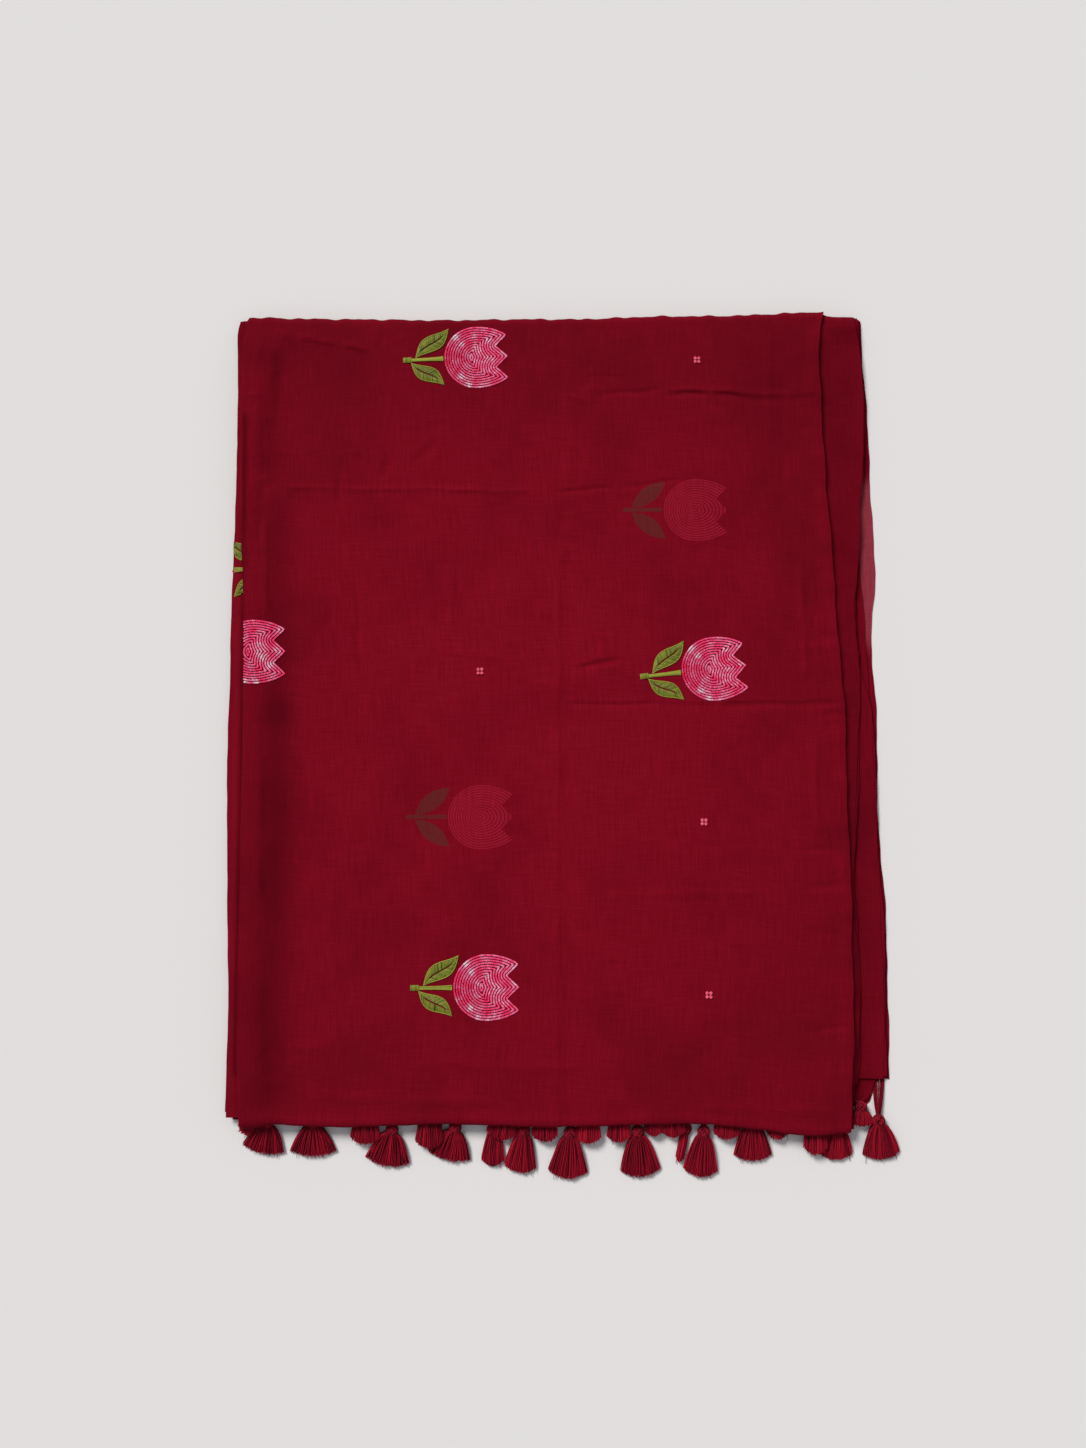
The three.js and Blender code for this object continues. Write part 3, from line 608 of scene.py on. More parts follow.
def top_relief(x, y):
    """Height of creases and swell over the level of the top stretch."""
    total = swell(x, y)
    for x1, y1, x2, y2, height, width in CREASES:
        dx, dy = x2 - x1, y2 - y1
        length = math.hypot(dx, dy)
        s = np.clip(((x - x1) * dx + (y - y1) * dy) / length**2, 0, 1)
        sway = 0.9 * np.sin(s * length / 19 + x1) + 0.5 * np.sin(s * length / 7.3 + y1)
        sway = sway * np.sin(s * np.pi)
        away = np.hypot(x - x1 - s * dx + sway * dy / length, y - y1 - s * dy - sway * dx / length)
        easing = min(0.5, END_EASING / length)
        ease = smooth(0, easing, s) * smooth(0, easing, 1 - s)
        uneven = 0.75 + 0.25 * np.sin(s * length / 13 + y1)
        total = total + RELIEF["creases"] * height * uneven * ease * np.exp(-((away / width) ** 2))
    troughs = RELIEF["deepest"] * np.tanh(total / RELIEF["deepest"])
    total = RELIEF["base"] + np.where(total > 0, total, troughs)
    roll = LEFT_ROLL["height"] * smooth(LEFT_ROLL["to"], LEFT_ROLL["from"], x)
    total = total + roll * smooth(*LEFT_ROLL["rear"], y)
    from_front = y - read(FRONT_EDGE, x)
    crest = ROLL["crest"] * np.exp(-(((from_front - ROLL["at"]) / ROLL["width"]) ** 2))
    return total + crest - ROLL["droop"] * smooth(ROLL["reach"], 0, from_front)


GRID_STEP = 4  # the inner face has every fourth line
TOP_SPAN = (-290, 285)
INNER_LINES = np.concatenate([np.linspace(0, 0.94, 17), np.linspace(0.951, 1, 17)])
WALL = {"selvedge": 0.45, "more": 0.75, "within": 0.05}  # it thins towards its outer selvedge
FINER_ACROSS = (15, -243, -227, -178, -266, 222, 251)  # where the sharpest creases run
FINER_ALONG = (9, 47, 225, 215, 312, 334, 359, -130, -165, -298, -379)


def top_stretch():
    low, high = TOP_SPAN
    outer = ((graded(low, high, 228, places=FINER_ACROSS, reach=4.5) - low) / (high - low))[::-1]
    section = section_of(outer, INNER_LINES, PITCH, 8)
    radius = FRONT_FOLD["radius"] - PLY / 2
    centre_y, centre_z = FRONT + FRONT_FOLD["radius"], STACK - FRONT_FOLD["radius"]
    tuck = np.linspace(centre_y + FRONT_FOLD["tuck"], centre_y, 5, endpoint=False)
    ys = graded(centre_y, BACK_MIDDLE, 294, places=FINER_ALONG, reach=4.5)
    path = np.concatenate([
        flat_run(tuck, centre_z - radius, 1),
        arc_run(centre_y, centre_z, radius, 270, 90, 11),
        flat_run(ys[1:-1], STACK - PLY / 2, -1),
        arc_run(BACK_MIDDLE, BACK_RADIUS, BACK_RADIUS - PLY / 2, 90, PARTING, 13),
    ])

    def shift(x, y, layer):
        share = np.clip((y - centre_y) / (BACK_MIDDLE - centre_y), 0, 1)
        front = read(FRONT_EDGE, x) - FRONT + wobble(x, 5, depths=(0.3, 0.3, 0.2))
        back = read(BACK_EDGE, x) - BACK + wobble(x, 6, (43, 24, 15), (0.35, 0.4, 0.3)) * share**30
        return front * (1 - share) + back * share

    def inner_face(x, y, part):
        from_edge = np.minimum(1 - part["across"], WALL["within"]) / WALL["within"]
        outer_layer = (part["nh"] < 0) * (part["height"] == 0)
        return PLY / 2 - (WALL["selvedge"] + WALL["more"] * smooth(0, 1, from_edge) * outer_layer)

    def lift(x, y):
        from_edge = read(TOP_UPPER_SELVEDGE, y) - x
        hem = HEM["height"] * smooth(HEM["width"], 1, from_edge)
        hem = hem - HEM["dip"] * np.exp(-(((from_edge - HEM["width"]) / 6) ** 2))
        ripple = HEM["ripple"] * wobble(y, 8, (83, 39, 21), (1, 0.7, 0.4)) * smooth(34, 2, from_edge)
        return top_relief(x, y) + hem + ripple

    def lift_within(x, y):
        return np.minimum(lift(x, y), 0)

    sides = (
        (TOP_LEFT_FOLD, PALLU_LEFT_FOLD, 1),
        (TOP_UPPER_SELVEDGE, PALLU_LOWER_SELVEDGE, 2),
        (TOP_LOWER_SELVEDGE, PALLU_UPPER_SELVEDGE, 3),
    )
    front = cloth_grid(section, path, sides, shift, PLY / 2, lift)
    coarse = {name: values[::GRID_STEP] for name, values in section.items()}
    back = cloth_grid(coarse, path[::GRID_STEP], sides, shift, inner_face, lift_within)
    for grid, layer in ((front, section["layer"]), (back, coarse["layer"])):
        x, y, z = np.moveaxis(grid, -1, 0)
        grid[..., 2] = z + (drape(x, y, z) - z) * layer * (y > FRONT + FRONT_FOLD["clear"])
    return front, back, GRID_STEP


top = solid_piece("cloth_top", cloth_mesh([top_stretch()], HANDLOOM_TOP), ["top_stretch"])

# %% [markdown]
# ## The pallu stretch
#
# The lowest stretch is the pallu. Its underside lies flat, its left side is a fold, and at the right
# its two selvedges part, so that for a hand's breadth only one layer lies on the floor. Its end is
# cut, and the warp left over is knotted into the tassels, which pulls the edge into small scallops.

# %% Pallu stretch
PALLU_THICKNESS = 0.6
SHEER = {"from_edge": (-2.5, 0), "near": (52, 82), "far": (240, 222)}


def pallu_stretch():
    across = graded(0, 1, 61, places=(0.985,), reach=0.03)
    section = section_of(across[::-1], across, PITCH, 8)
    ys = graded(NOMINAL_END, BACK_MIDDLE, 190, places=(NOMINAL_END,), reach=14, extra=2)
    path = np.concatenate([
        flat_run(ys[:-1], PLY / 2, 1),
        arc_run(BACK_MIDDLE, BACK_RADIUS, BACK_RADIUS - PLY / 2, -90, -PARTING, 12, back=True),
    ])

    def shift(x, y, layer):
        fade = np.clip(1 - (y - NOMINAL_END) / END_EASE, 0, 1)
        share = np.clip((y - NOMINAL_END) / (BACK_MIDDLE - NOMINAL_END), 0, 1)
        fray = wobble(x, 11, (31, 13, 7), (0.5, 0.45, 0.3)) * smooth(0.8, 1, fade)
        end = read(PALLU_END, x) - NOMINAL_END + UPPER_END_SHORT * layer + fray
        return fade * end + share * (read(BACK_EDGE, x) - BACK)

    sides = (
        (PALLU_LEFT_FOLD, TOP_LEFT_FOLD, 21),
        (PALLU_LOWER_SELVEDGE, TOP_UPPER_SELVEDGE, 22),
        (PALLU_UPPER_SELVEDGE, TOP_LOWER_SELVEDGE, 23),
    )
    outer = cloth_grid(section, path, sides, shift, PLY / 2)
    inner = cloth_grid(section, path, sides, shift, PLY / 2 - PALLU_THICKNESS)
    return outer, inner, 1


def mark_sheer(mesh):
    """How much the floor shines through: one layer of cloth at the right of the upper selvedge."""
    points = np.zeros(len(mesh.vertices) * 3)
    mesh.vertices.foreach_get("co", points)
    x, y, z = points.reshape(-1, 3).T / MM
    beyond = smooth(*SHEER["from_edge"], x - read(PALLU_UPPER_SELVEDGE, y)) * (z < PITCH)
    set_values(mesh, "sheer", beyond * smooth(*SHEER["near"], y) * smooth(*SHEER["far"], y))


pallu_mesh = cloth_mesh([pallu_stretch()], HANDLOOM)
mark_sheer(pallu_mesh)
pallu = solid_piece("cloth_pallu", pallu_mesh, ["pallu_stretch"])

# %% [markdown]
# ## The stretches between
#
# Six more stretches lie between the top and the pallu. Only their edges show: rounded folds at the
# left, thin selvedges at the right that never quite line up, and ends at the front a few
# millimetres apart. Each stretch is a wall of its own here. They need few lines across, where
# nobody sees them, and many along their edges.

# %% Hidden stretches
# left right front back corner seed, from the top down: how far its two sides lie from the top's
# outline to the pallu's, where it ends, and how far its front left corner is dragged forward
STRETCHES = [
    (0.92, 0.04, -352, 2.2, -28, 31), (0.97, 0.1, -350, 4.0, -26, 32), (0.85, 0.03, -347, 5.0, -27, 33),
    (1.0, 0.9, -346, 5.0, -24, 34), (0.9, 0.97, -343, 4.6, -29, 35), (0.45, 0.93, -345, 2.4, -39, 36),
]
# shares of the width, close together at the fold and at the selvedge
HIDDEN_LINES = np.concatenate([np.linspace(0, 0.025, 7), (0.2, 0.5, 0.8), np.linspace(0.94, 1, 6)])
DRAG = {"flat": 10.0, "ease": 24.0, "fade": 70.0}
OUT_TO_PALLU = ((60, 0), (225, 262))  # the right sides ease towards the pallu's between these y


def hidden_stretch(number):
    left_share, right_share, front_y, back_reach, corner, seed = STRETCHES[number]
    pitch = (HIDDEN["top"] - HIDDEN["bottom"]) / (2 * HIDDEN["stretches"])
    outer_z = HIDDEN["top"] - (2 * number + 0.5) * pitch
    section = section_of(HIDDEN_LINES[::-1], HIDDEN_LINES, pitch, 7)
    back_y = BACK_MIDDLE + back_reach
    ys = graded(front_y, back_y, 120)
    path = flat_run(ys, outer_z, -1)

    def between(upper, lower, share, least=1.0):
        rows = []
        for y in range(-390, 400, 15):
            at = share * max(least, *(float(smooth(*reach, y)) for reach in OUT_TO_PALLU))
            rows.append((y, read(upper, y) * (1 - at) + read(lower, y) * at))
        return rows

    def shift(x, y, layer):
        drag = corner * (1 - smooth(DRAG["flat"], DRAG["flat"] + DRAG["ease"], x - read(left, y)))
        along = np.clip((y - front_y) / (back_y - front_y), 0, 1)
        tug = wobble(x, seed, (130, 57, 23), (0.5, 0.5, 0.2))
        front = (drag + tug) * smooth(front_y + DRAG["fade"], front_y, y)
        return front + along * (read(BACK_EDGE, x) - BACK)

    left = between(TOP_LEFT_FOLD, PALLU_LEFT_FOLD, left_share)
    right = between(TOP_LOWER_SELVEDGE, PALLU_UPPER_SELVEDGE, right_share, least=0.0)
    sides = ((left, left, seed), (right, right, seed + 10), (right, right, seed + 20))
    half = HIDDEN["thickness"] / 2
    grids = [cloth_grid(section, path, sides, shift, offset) for offset in (half, -half)]
    for grid in grids:
        grid[..., 2] = drape(*np.moveaxis(grid, -1, 0))
    return *grids, 1


hidden_mesh = cloth_mesh([hidden_stretch(n) for n in range(HIDDEN["stretches"])], HANDLOOM)
hidden = solid_piece("cloth_hidden", hidden_mesh, ["hidden_stretches"])

# %% [markdown]
# ## Thread by Geometry Nodes
#
# Stitches and tassels are many short threads. Each thread is laid as a chain of points, and one
# node tree turns every chain into a tube: Mesh to Curve, and Curve to Mesh with a small profile
# scaled by the width that the points carry. The same tree serves the leaves, the dots, the knots
# and the skirts.

# %% Node tree for threads
def new_tree(name, *sockets):
    tree = bpy.data.node_groups.new(name, "GeometryNodeTree")
    tree.interface.new_socket("Geometry", in_out="OUTPUT", socket_type="NodeSocketGeometry")
    tree.interface.new_socket("Geometry", in_out="INPUT", socket_type="NodeSocketGeometry")
    for label, kind in sockets:
        tree.interface.new_socket(label, in_out="INPUT", socket_type=kind)
    return tree, add(tree, "NodeGroupInput")


def thread_tree():
    tree, given = new_tree(
        "threads", ("Thickness", "NodeSocketFloat"), ("Sides", "NodeSocketInt"),
        ("Material", "NodeSocketMaterial"))
    curve = add(tree, "GeometryNodeMeshToCurve", {"Mesh": given.outputs["Geometry"]})
    width = add(tree, "GeometryNodeInputNamedAttribute", {"Name": "width"}, data_type="FLOAT")
    scale = add(tree, "ShaderNodeMath", {
        0: width.outputs[0], 1: given.outputs["Thickness"]}, operation="MULTIPLY")
    ring = add(tree, "GeometryNodeCurvePrimitiveCircle", {
        "Resolution": given.outputs["Sides"], "Radius": 0.5})
    tube = add(tree, "GeometryNodeCurveToMesh", {
        "Curve": curve.outputs[0], "Profile Curve": ring.outputs[0], "Scale": scale.outputs[0],
        "Fill Caps": True})
    smooth_faces = add(tree, "GeometryNodeSetShadeSmooth", {0: tube.outputs[0]})
    whole = add(tree, "GeometryNodeRealizeInstances", {0: smooth_faces.outputs[0]})
    dyed = add(tree, "GeometryNodeSetMaterial", {
        0: whole.outputs[0], "Material": given.outputs["Material"]})
    add(tree, "NodeGroupOutput", {0: dyed.outputs[0]})
    return tree


def run_tree(tree, mesh, **values):
    """Runs a tree on a mesh and gives the plain mesh that comes out of it."""
    holder = new_object("holder", mesh)
    modifier = holder.modifiers.new("nodes", "NODES")
    modifier.node_group = tree
    for item in tree.interface.items_tree:
        key = item.name.replace(" ", "_").lower()
        if item.in_out == "INPUT" and key in values:
            modifier[item.identifier] = values[key]
    result = holder.evaluated_get(bpy.context.evaluated_depsgraph_get())
    made = bpy.data.meshes.new_from_object(result)
    bpy.data.objects.remove(holder)
    return made


def chains_mesh(chains):
    """A mesh of loose chains. A chain is (points, width, shade), points in millimetres."""
    points = np.concatenate([points for points, _, _ in chains])
    edges, count = [], 0
    for chain, _, _ in chains:
        edges.append(np.stack([np.arange(len(chain) - 1), np.arange(1, len(chain))], 1) + count)
        count += len(chain)
    mesh = bpy.data.meshes.new("chains")
    mesh.from_pydata((points * MM).tolist(), np.concatenate(edges).tolist(), [])
    for label, column in (("width", 1), ("shade", 2)):
        set_values(mesh, label, np.concatenate([np.broadcast_to(c[column], len(c[0])) for c in chains]))
    return mesh


THREADS = thread_tree()
print("thread tree with", len(THREADS.nodes), "nodes")

# %% [markdown]
# Tassel threads are mercerised cotton, and stitches are silk: round, a little glossy, and dyed
# unevenly. The attribute shade says how light each thread is, so that neighbours part from each other,
# and it also carries painted shade where threads lie deep within a tassel.

# %% Thread materials
MOTTLE = {"Scale": 400.0, "Detail": 2.0}
MOTTLE_RANGE = {"To Min": -0.17, "To Max": 0.17}


def thread_material(name, dark, light, **sockets):
    """Dyed thread between two tones, by each thread's own shade."""
    material, tree, shader = new_material(name, **sockets)
    shade = add(tree, "ShaderNodeAttribute", attribute_name="shade").outputs["Fac"]
    place = add(tree, "ShaderNodeTexCoord").outputs["Object"]
    mottle = add(tree, "ShaderNodeTexNoise", {"Vector": place, **MOTTLE}).outputs["Fac"]
    uneven = add(tree, "ShaderNodeMapRange", {"Value": mottle, **MOTTLE_RANGE}).outputs[0]
    amount = add(tree, "ShaderNodeMath", {0: shade, 1: uneven}, operation="ADD").outputs[0]
    colour = add(tree, "ShaderNodeMix", {
        "Factor": amount, 6: linear(dark), 7: linear(light)}, data_type="RGBA", clamp_factor=True)
    tree.links.new(colour.outputs[2], shader.inputs["Base Color"])
    return material


TASSEL_COTTON = thread_material(
    "mercerised_cotton_maroon", "#380410", "#BC1732", Roughness=0.62, Specular_IOR_Level=0.1)
LEAF_SILK = thread_material(
    "embroidery_silk_green", "#26360A", "#B8BE40", Roughness=0.5, Specular_IOR_Level=0.3)
DOT_SILK = thread_material(
    "embroidery_silk_pink", "#D81C48", "#FF7CA0", Roughness=0.45, Specular_IOR_Level=0.2)
print("thread materials ready")

# %% [markdown]
# ## Tassels
#
# The warp at the cloth's cut end is gathered into bundles, each bundle is knotted into a ball, and
# the threads below the ball are trimmed to a skirt. The long row hangs from the lower layer and the
# short row from the upper one, so the skirts overlap. A skirt is a hundred threads or more above a
# filling coloured dark as painted shade: they leave the knot as a tight round bundle and flatten
# into a bell where they lie down, with a few grooves where threads have sunk in. Painted shade makes
# the threads darker in the grooves, near the knot and in the lower tiers.

# %% Tassel table
# row x y turn length width root, as in the solids: knot's middle, degrees towards -X, knot to hem,
# width at the hem, and where its threads leave the cloth
TASSELS = [
    ("short", -268.5, -380.0, 46, 20, 17, 0), ("long", -258.4, -385.6, 11, 29.5, 41, 6),
    ("long", -216.2, -386.2, 0, 31, 45, 0), ("short", -166.7, -365, 0, 40, 29, 3),
    ("long", -141.9, -392.6, 9, 34, 43, -4), ("short", -106.4, -366.9, 0, 42, 28, 2),
    ("long", -82.7, -390.8, 12, 31, 42, 4), ("short", -33.6, -363.2, 9, 38, 31, 4),
    ("covered", -45.4, -390.8, 3, 35, 23, -4), ("long", -17.9, -393.5, 6, 39, 31, 2),
    ("short", 1.9, -363.2, 0, 39.5, 26, -3), ("long", 25.4, -395.4, 3, 42, 38, -4),
    ("short", 42.4, -365, 0, 39.5, 26, 3), ("short", 71.6, -365, 0, 38.5, 24, -2),
    ("long", 89.3, -394.5, -4, 41.5, 39, 0), ("short", 104.2, -361.3, 0, 36.5, 19, 3),
    ("short", 121, -362.2, -3, 36.5, 24, -2), ("covered", 134.2, -391.7, 11, 31, 9, 3),
    ("long", 151.3, -394.5, 5, 41.5, 33, 4), ("short", 173.3, -363.2, 0, 37.5, 27, -3),
    ("long", 197.4, -385.3, 0, 36, 37, 2), ("short", 220.4, -362.2, 0, 38.5, 22, 2),
    ("short", 256, -372.4, 0, 42, 24, -4), ("long", 276.4, -384.3, 2, 36, 33, 3),
    ("short", 299.5, -372.0, 0, 16, 26, -2), ("long", 315.9, -384.3, -5, 36, 36, 2),
]
KNOT = {"width": 12.0, "height": 9.0, "lift": 0.4, "strands": 6, "lean": 40.0}
ROWS = {
    "long": {"height": KNOT["height"], "hem": 0.35, "upper": False},
    "covered": {"height": 4.2, "hem": 0.35, "upper": False},
    "short": {"height": KNOT["height"], "hem": 5.0, "upper": True},
}
SKIRT = {"threads": 160, "stations": 8, "width": 1.0, "pile": 3.6, "neck": 4.3, "filling": 16, "fullest": 36}
FLARE, FALL = 0.56, 0.8  # how soon a skirt spreads out, and how soon it comes down
GROOVES = {"count": 9, "depth": 1.1, "width": 0.045}
ROOTS = {"strands": 9, "spread": 4.4, "width": 1.25, "least": 0.65}


def knot_middle(row):
    """Height of the knot's middle over the floor."""
    return KNOT["lift"] + ROWS[row]["height"] / 2


def turned(points, degrees, x, y):
    """Turns points about the knot towards -X and moves them to the tassel's place."""
    c, s = math.cos(math.radians(degrees)), math.sin(math.radians(degrees))
    px, py, pz = points.T
    return np.stack([px * c + py * s + x, -px * s + py * c + y, pz], 1)


def skirt_thread(tassel, spread, tier, length, thick):
    """One thread from the knot's lower side to the hem. spread is -1 to 1, tier 0 below to 1 above."""
    row, *_, width, _ = tassel
    middle = knot_middle(row)
    t = np.linspace(0, 1, SKIRT["stations"])
    half = width / 2 - thick / 2
    neck_x = spread * SKIRT["neck"] * math.sqrt(1 - 0.7 * (2 * tier - 1) ** 2)
    neck_z = middle + (2 * tier - 1) * min(3.6, 0.38 * ROWS[row]["height"]) * math.sqrt(1 - 0.8 * spread**2)
    hem_z = ROWS[row]["hem"] + thick / 2 + SKIRT["pile"] * tier * (1 - 0.5 * spread**2)
    px = neck_x + (spread * half - neck_x) * t**FLARE
    pz = neck_z + (hem_z - neck_z) * t**FALL + 0.7 * np.sin(t * np.pi) * tier
    py = -2.0 - (length - 2.0) * t
    return np.stack([px, py, pz], 1), t


def skirt_chains(tassel, rng):
    _, x, y, turn, length, width, _ = tassel
    chains = []
    # the filling is coloured nearly black, as painted shade inside the skirt
    for i in range(SKIRT["filling"]):
        spread = -0.93 + 1.86 * i / (SKIRT["filling"] - 1)
        thick = width / SKIRT["filling"] * 1.25
        points, _ = skirt_thread(tassel, spread, 0.2, length * (0.94 - 0.14 * spread**2), thick)
        chains.append((turned(points, turn, x, y), thick, 0.04))
    count = int(SKIRT["threads"] * (0.5 + 0.5 * min(1, width / SKIRT["fullest"])))
    grooves = np.sort(rng.uniform(-1, 1, GROOVES["count"]))
    fold = rng.uniform(-0.18, 0.18, GROOVES["count"] + 1)
    for i in range(count):
        spread = -1 + 2 * ((i * 0.618034) % 1)
        tier = (i + 0.5) / count
        near = np.abs(grooves - spread).min()
        sunk = math.exp(-((near / GROOVES["width"]) ** 2)) * (tier > 0.35)
        trim = length * (1 - 0.15 * spread**2) + rng.normal(0, 0.7)
        points, t = skirt_thread(tassel, spread, tier, trim, SKIRT["width"])
        points[:, 0] += rng.uniform(-1, 1) * 0.5 * np.sin(t * np.pi * rng.uniform(0.8, 1.6))
        points[:, 2] -= GROOVES["depth"] * sunk * np.sin(np.pi * t**0.7)
        # painted shade: lower tiers, threads in the grooves and the part near the knot are darker; the rest
        # is random tone
        shade = 0.36 + 0.26 * tier + fold[np.searchsorted(grooves, spread)] + rng.uniform(-0.2, 0.2)
        dark = 0.4 * sunk * np.sin(np.pi * t**0.6) + 0.3 * np.exp(-t * 9)
        thickness = SKIRT["width"] * (1 - 0.25 * (t > 0.95))
        chains.append((turned(points, turn, x, y), thickness, shade - dark))
    for _ in range(2):
        points, t = skirt_thread(tassel, rng.uniform(-0.9, 0.9), 0.3, length + rng.uniform(1.5, 3), 0.5)
        chains.append((turned(points, turn, x, y), 0.45, 0.3))
    return chains


def knot_chains(tassel, rng):
    """Two sets of strands that cross over the ball, and a turn of thread round its neck."""
    row, x, y, turn, *_ = tassel
    wide, high = KNOT["width"] / 2 - 0.9, ROWS[row]["height"] / 2 - 0.9
    middle = knot_middle(row)
    lean = math.radians(KNOT["lean"])
    t = np.linspace(0, 2 * np.pi, 25)[:, None]
    chains = []
    for way, reach in ((1, 1.0), (-1, 1.05)):
        for i in range(KNOT["strands"]):
            roll = np.pi * (i + 0.25 * way + rng.uniform(-0.2, 0.2)) / KNOT["strands"]
            axis = np.array([way * math.sin(lean), math.cos(lean), 0])
            level = math.cos(roll)
            across = np.array([-way * math.cos(lean) * level, math.sin(lean) * level, math.sin(roll)])
            points = (axis * np.cos(t) + across * np.sin(t)) * reach * (wide, wide, high) + (0, 0, middle)
            shade = 0.4 + 0.1 * way + rng.uniform(-0.2, 0.2)
            chains.append((turned(points, turn, x, y), 1.9 + rng.uniform(-0.25, 0.25), shade))
    ring = np.concatenate([4.6 * np.cos(t), 0 * t - wide + 0.6, 0.62 * high * np.sin(t) + middle], 1)
    chains.append((turned(ring, turn, x, y), 1.5, 0.16))
    return chains


def root_chains(tassel, rng):
    """Warp threads from the cloth's end to the knot."""
    row, x, y, *_, root = tassel
    upper = ROWS[row]["upper"]
    middle = knot_middle(row)
    chains = []
    for i in range(ROOTS["strands"]):
        side = 2 * (i + 0.5) / ROOTS["strands"] - 1
        start_x = x + root + ROOTS["spread"] * side + 1.1 * np.sign(side)
        start_y = float(read(PALLU_END, start_x)) + UPPER_END_SHORT * upper + 1.5
        start = np.array([start_x, start_y, PLY / 2 + PITCH * upper + rng.uniform(-0.2, 0.25)])
        end = np.array([x + 1.8 * side, y + 4.0, middle + rng.uniform(-1.2, 1.2)])
        t = np.linspace(0, 1, 8)[:, None]
        bow = np.array([0.8 * side, 0, -0.25]) * np.sin(t * np.pi)
        points = start + (end - start) * t + bow
        points[:, 2] = np.maximum(points[:, 2], ROOTS["least"])
        chains.append((points, ROOTS["width"], 0.3 + rng.uniform(-0.2, 0.2)))
    return chains


def knot_core(tassel):
    """A ball inside the knot, coloured dark as painted shade, so that no light falls through between its
    strands.
    """
    row, x, y, turn, *_ = tassel
    t = np.linspace(-1, 1, 9)
    middle = knot_middle(row)
    points = np.stack([0 * t, t * (KNOT["width"] / 2 - 1.2), 0 * t + middle], 1)
    girth = (ROWS[row]["height"] - 1.8) * np.sqrt(1 - (0.96 * t) ** 2)
    return turned(points, turn, x, y), girth, 0.02


def tassel_piece(name, rows):
    chosen = [(i, tassel) for i, tassel in enumerate(TASSELS) if tassel[0] in rows]
    chains, knots = [], []
    for i, tassel in chosen:
        rng = np.random.default_rng(100 + i)
        chains += skirt_chains(tassel, rng) + root_chains(tassel, rng)
        knots += [knot_core(tassel)] + knot_chains(tassel, rng)
    threads = run_tree(THREADS, chains_mesh(chains), thickness=MM, sides=3, material=TASSEL_COTTON)
    balls = run_tree(THREADS, chains_mesh(knots), thickness=MM, sides=5, material=TASSEL_COTTON)
    merged = merge_meshes(name, [threads, balls])
    nodes = [f"tassel_{i + 1:02d}" for i, _ in chosen]
    return solid_piece(name, merged, nodes)


def merge_meshes(name, meshes):
    """Joins meshes with the same material and attributes into one."""
    objects = [new_object(f"{name}_part", mesh) for mesh in meshes]
    with bpy.context.temp_override(active_object=objects[0], selected_editable_objects=objects):
        bpy.ops.object.join()
    merged = objects[0].data
    bpy.data.objects.remove(objects[0])
    return merged


tassels_long = tassel_piece("tassels_long", ("long", "covered"))
tassels_short = tassel_piece("tassels_short", ("short",))

# %% [markdown]
# ## Sequin flowers
#
# Each flower is a tulip seen from the side: a round cup with three points, filled with cupped
# sequins sewn in rows that follow its outline inwards, so the rows are rings at the round end and
# zigzags at the points. The outline is a half circle, two arcs of an ellipse and a zigzag, and each
# row is found along rays from the middle, where the distance to the outline is a whole number of
# row widths. Geometry Nodes then set one sequin on each point, tipped along its row, because every
# sequin rests on the one before it.

# %% Cup outline and rows
CUP = {"radius": 31.3, "long": 45.0, "tips": (31.8, 21.5), "notch": (20.5, 10.8), "heart": -4.4}
SEQUIN = {"size": 2.0, "spacing": 1.21, "hole": 0.1, "tilt": 8.0, "rise": 0.55}


def cup_outline():
    """Closed outline about the cup's middle, its points towards +X."""
    left = np.radians(np.linspace(90, 270, 60))
    (tip_x, tip_y), (notch_x, notch_y) = CUP["tips"], CUP["notch"]
    end = math.degrees(math.asin(min(1, tip_x / CUP["long"])))
    right = np.radians(np.linspace(0, end, 16))
    rise = np.linspace(0, 1, 16)
    upper = np.stack([CUP["long"] * np.sin(right), CUP["radius"] * np.cos(right)], 1)
    upper[:, 1] += (tip_y - upper[-1, 1]) * rise**2
    zigzag = [(notch_x, -notch_y), (tip_x, 0), (notch_x, notch_y)]
    round_end = np.stack([CUP["radius"] * np.cos(left), CUP["radius"] * np.sin(left)], 1)
    lower = upper * (1, -1)
    return np.concatenate([round_end[:-1], lower[:-1], [(tip_x, -tip_y)], zigzag, upper[::-1][:-1]])


def distance_to(outline, points):
    start, run = outline, np.roll(outline, -1, 0) - outline
    gap = points[:, None, :] - start[None]
    s = np.clip((gap * run).sum(-1) / np.maximum((run**2).sum(-1), 1e-9), 0, 1)
    return np.linalg.norm(gap - s[..., None] * run, axis=-1).min(1)


def cup_rows():
    """Places of the sequins of one cup, and the direction of their row there."""
    outline = cup_outline()
    angle = np.linspace(0, 2 * np.pi, 361)[:-1]
    ray = np.stack([np.cos(angle), np.sin(angle)], 1)
    heart = np.array([CUP["heart"], 0])
    found = []
    for number in range(14):
        depth = ROW_PITCH * (number + 0.5)
        near, far = np.zeros(360), np.full(360, 40.0)
        for _ in range(22):
            half = (near + far) / 2
            points = heart + ray * half[:, None]
            inside = (distance_to(outline, points) > depth) & inside_of(outline, points)
            near, far = np.where(inside, half, near), np.where(inside, far, half)
        loop = (heart + ray * near[:, None])[near > 0.4]
        if len(loop) < 8:
            break
        closed = np.concatenate([loop, loop[:1]])
        length = np.concatenate([[0], np.cumsum(np.linalg.norm(np.diff(closed, axis=0), axis=1))])
        count = max(3, int(length[-1] / SEQUIN["spacing"]))
        at = (np.arange(count) + 0.37 * number) % count * length[-1] / count
        place, ahead = (
            np.stack([np.interp(s, length, column) for column in closed.T], 1)
            for s in (at, (at + 0.8) % length[-1])
        )
        found.append(np.column_stack([place, np.arctan2(*(ahead - place).T[::-1])]))
    return np.concatenate(found)


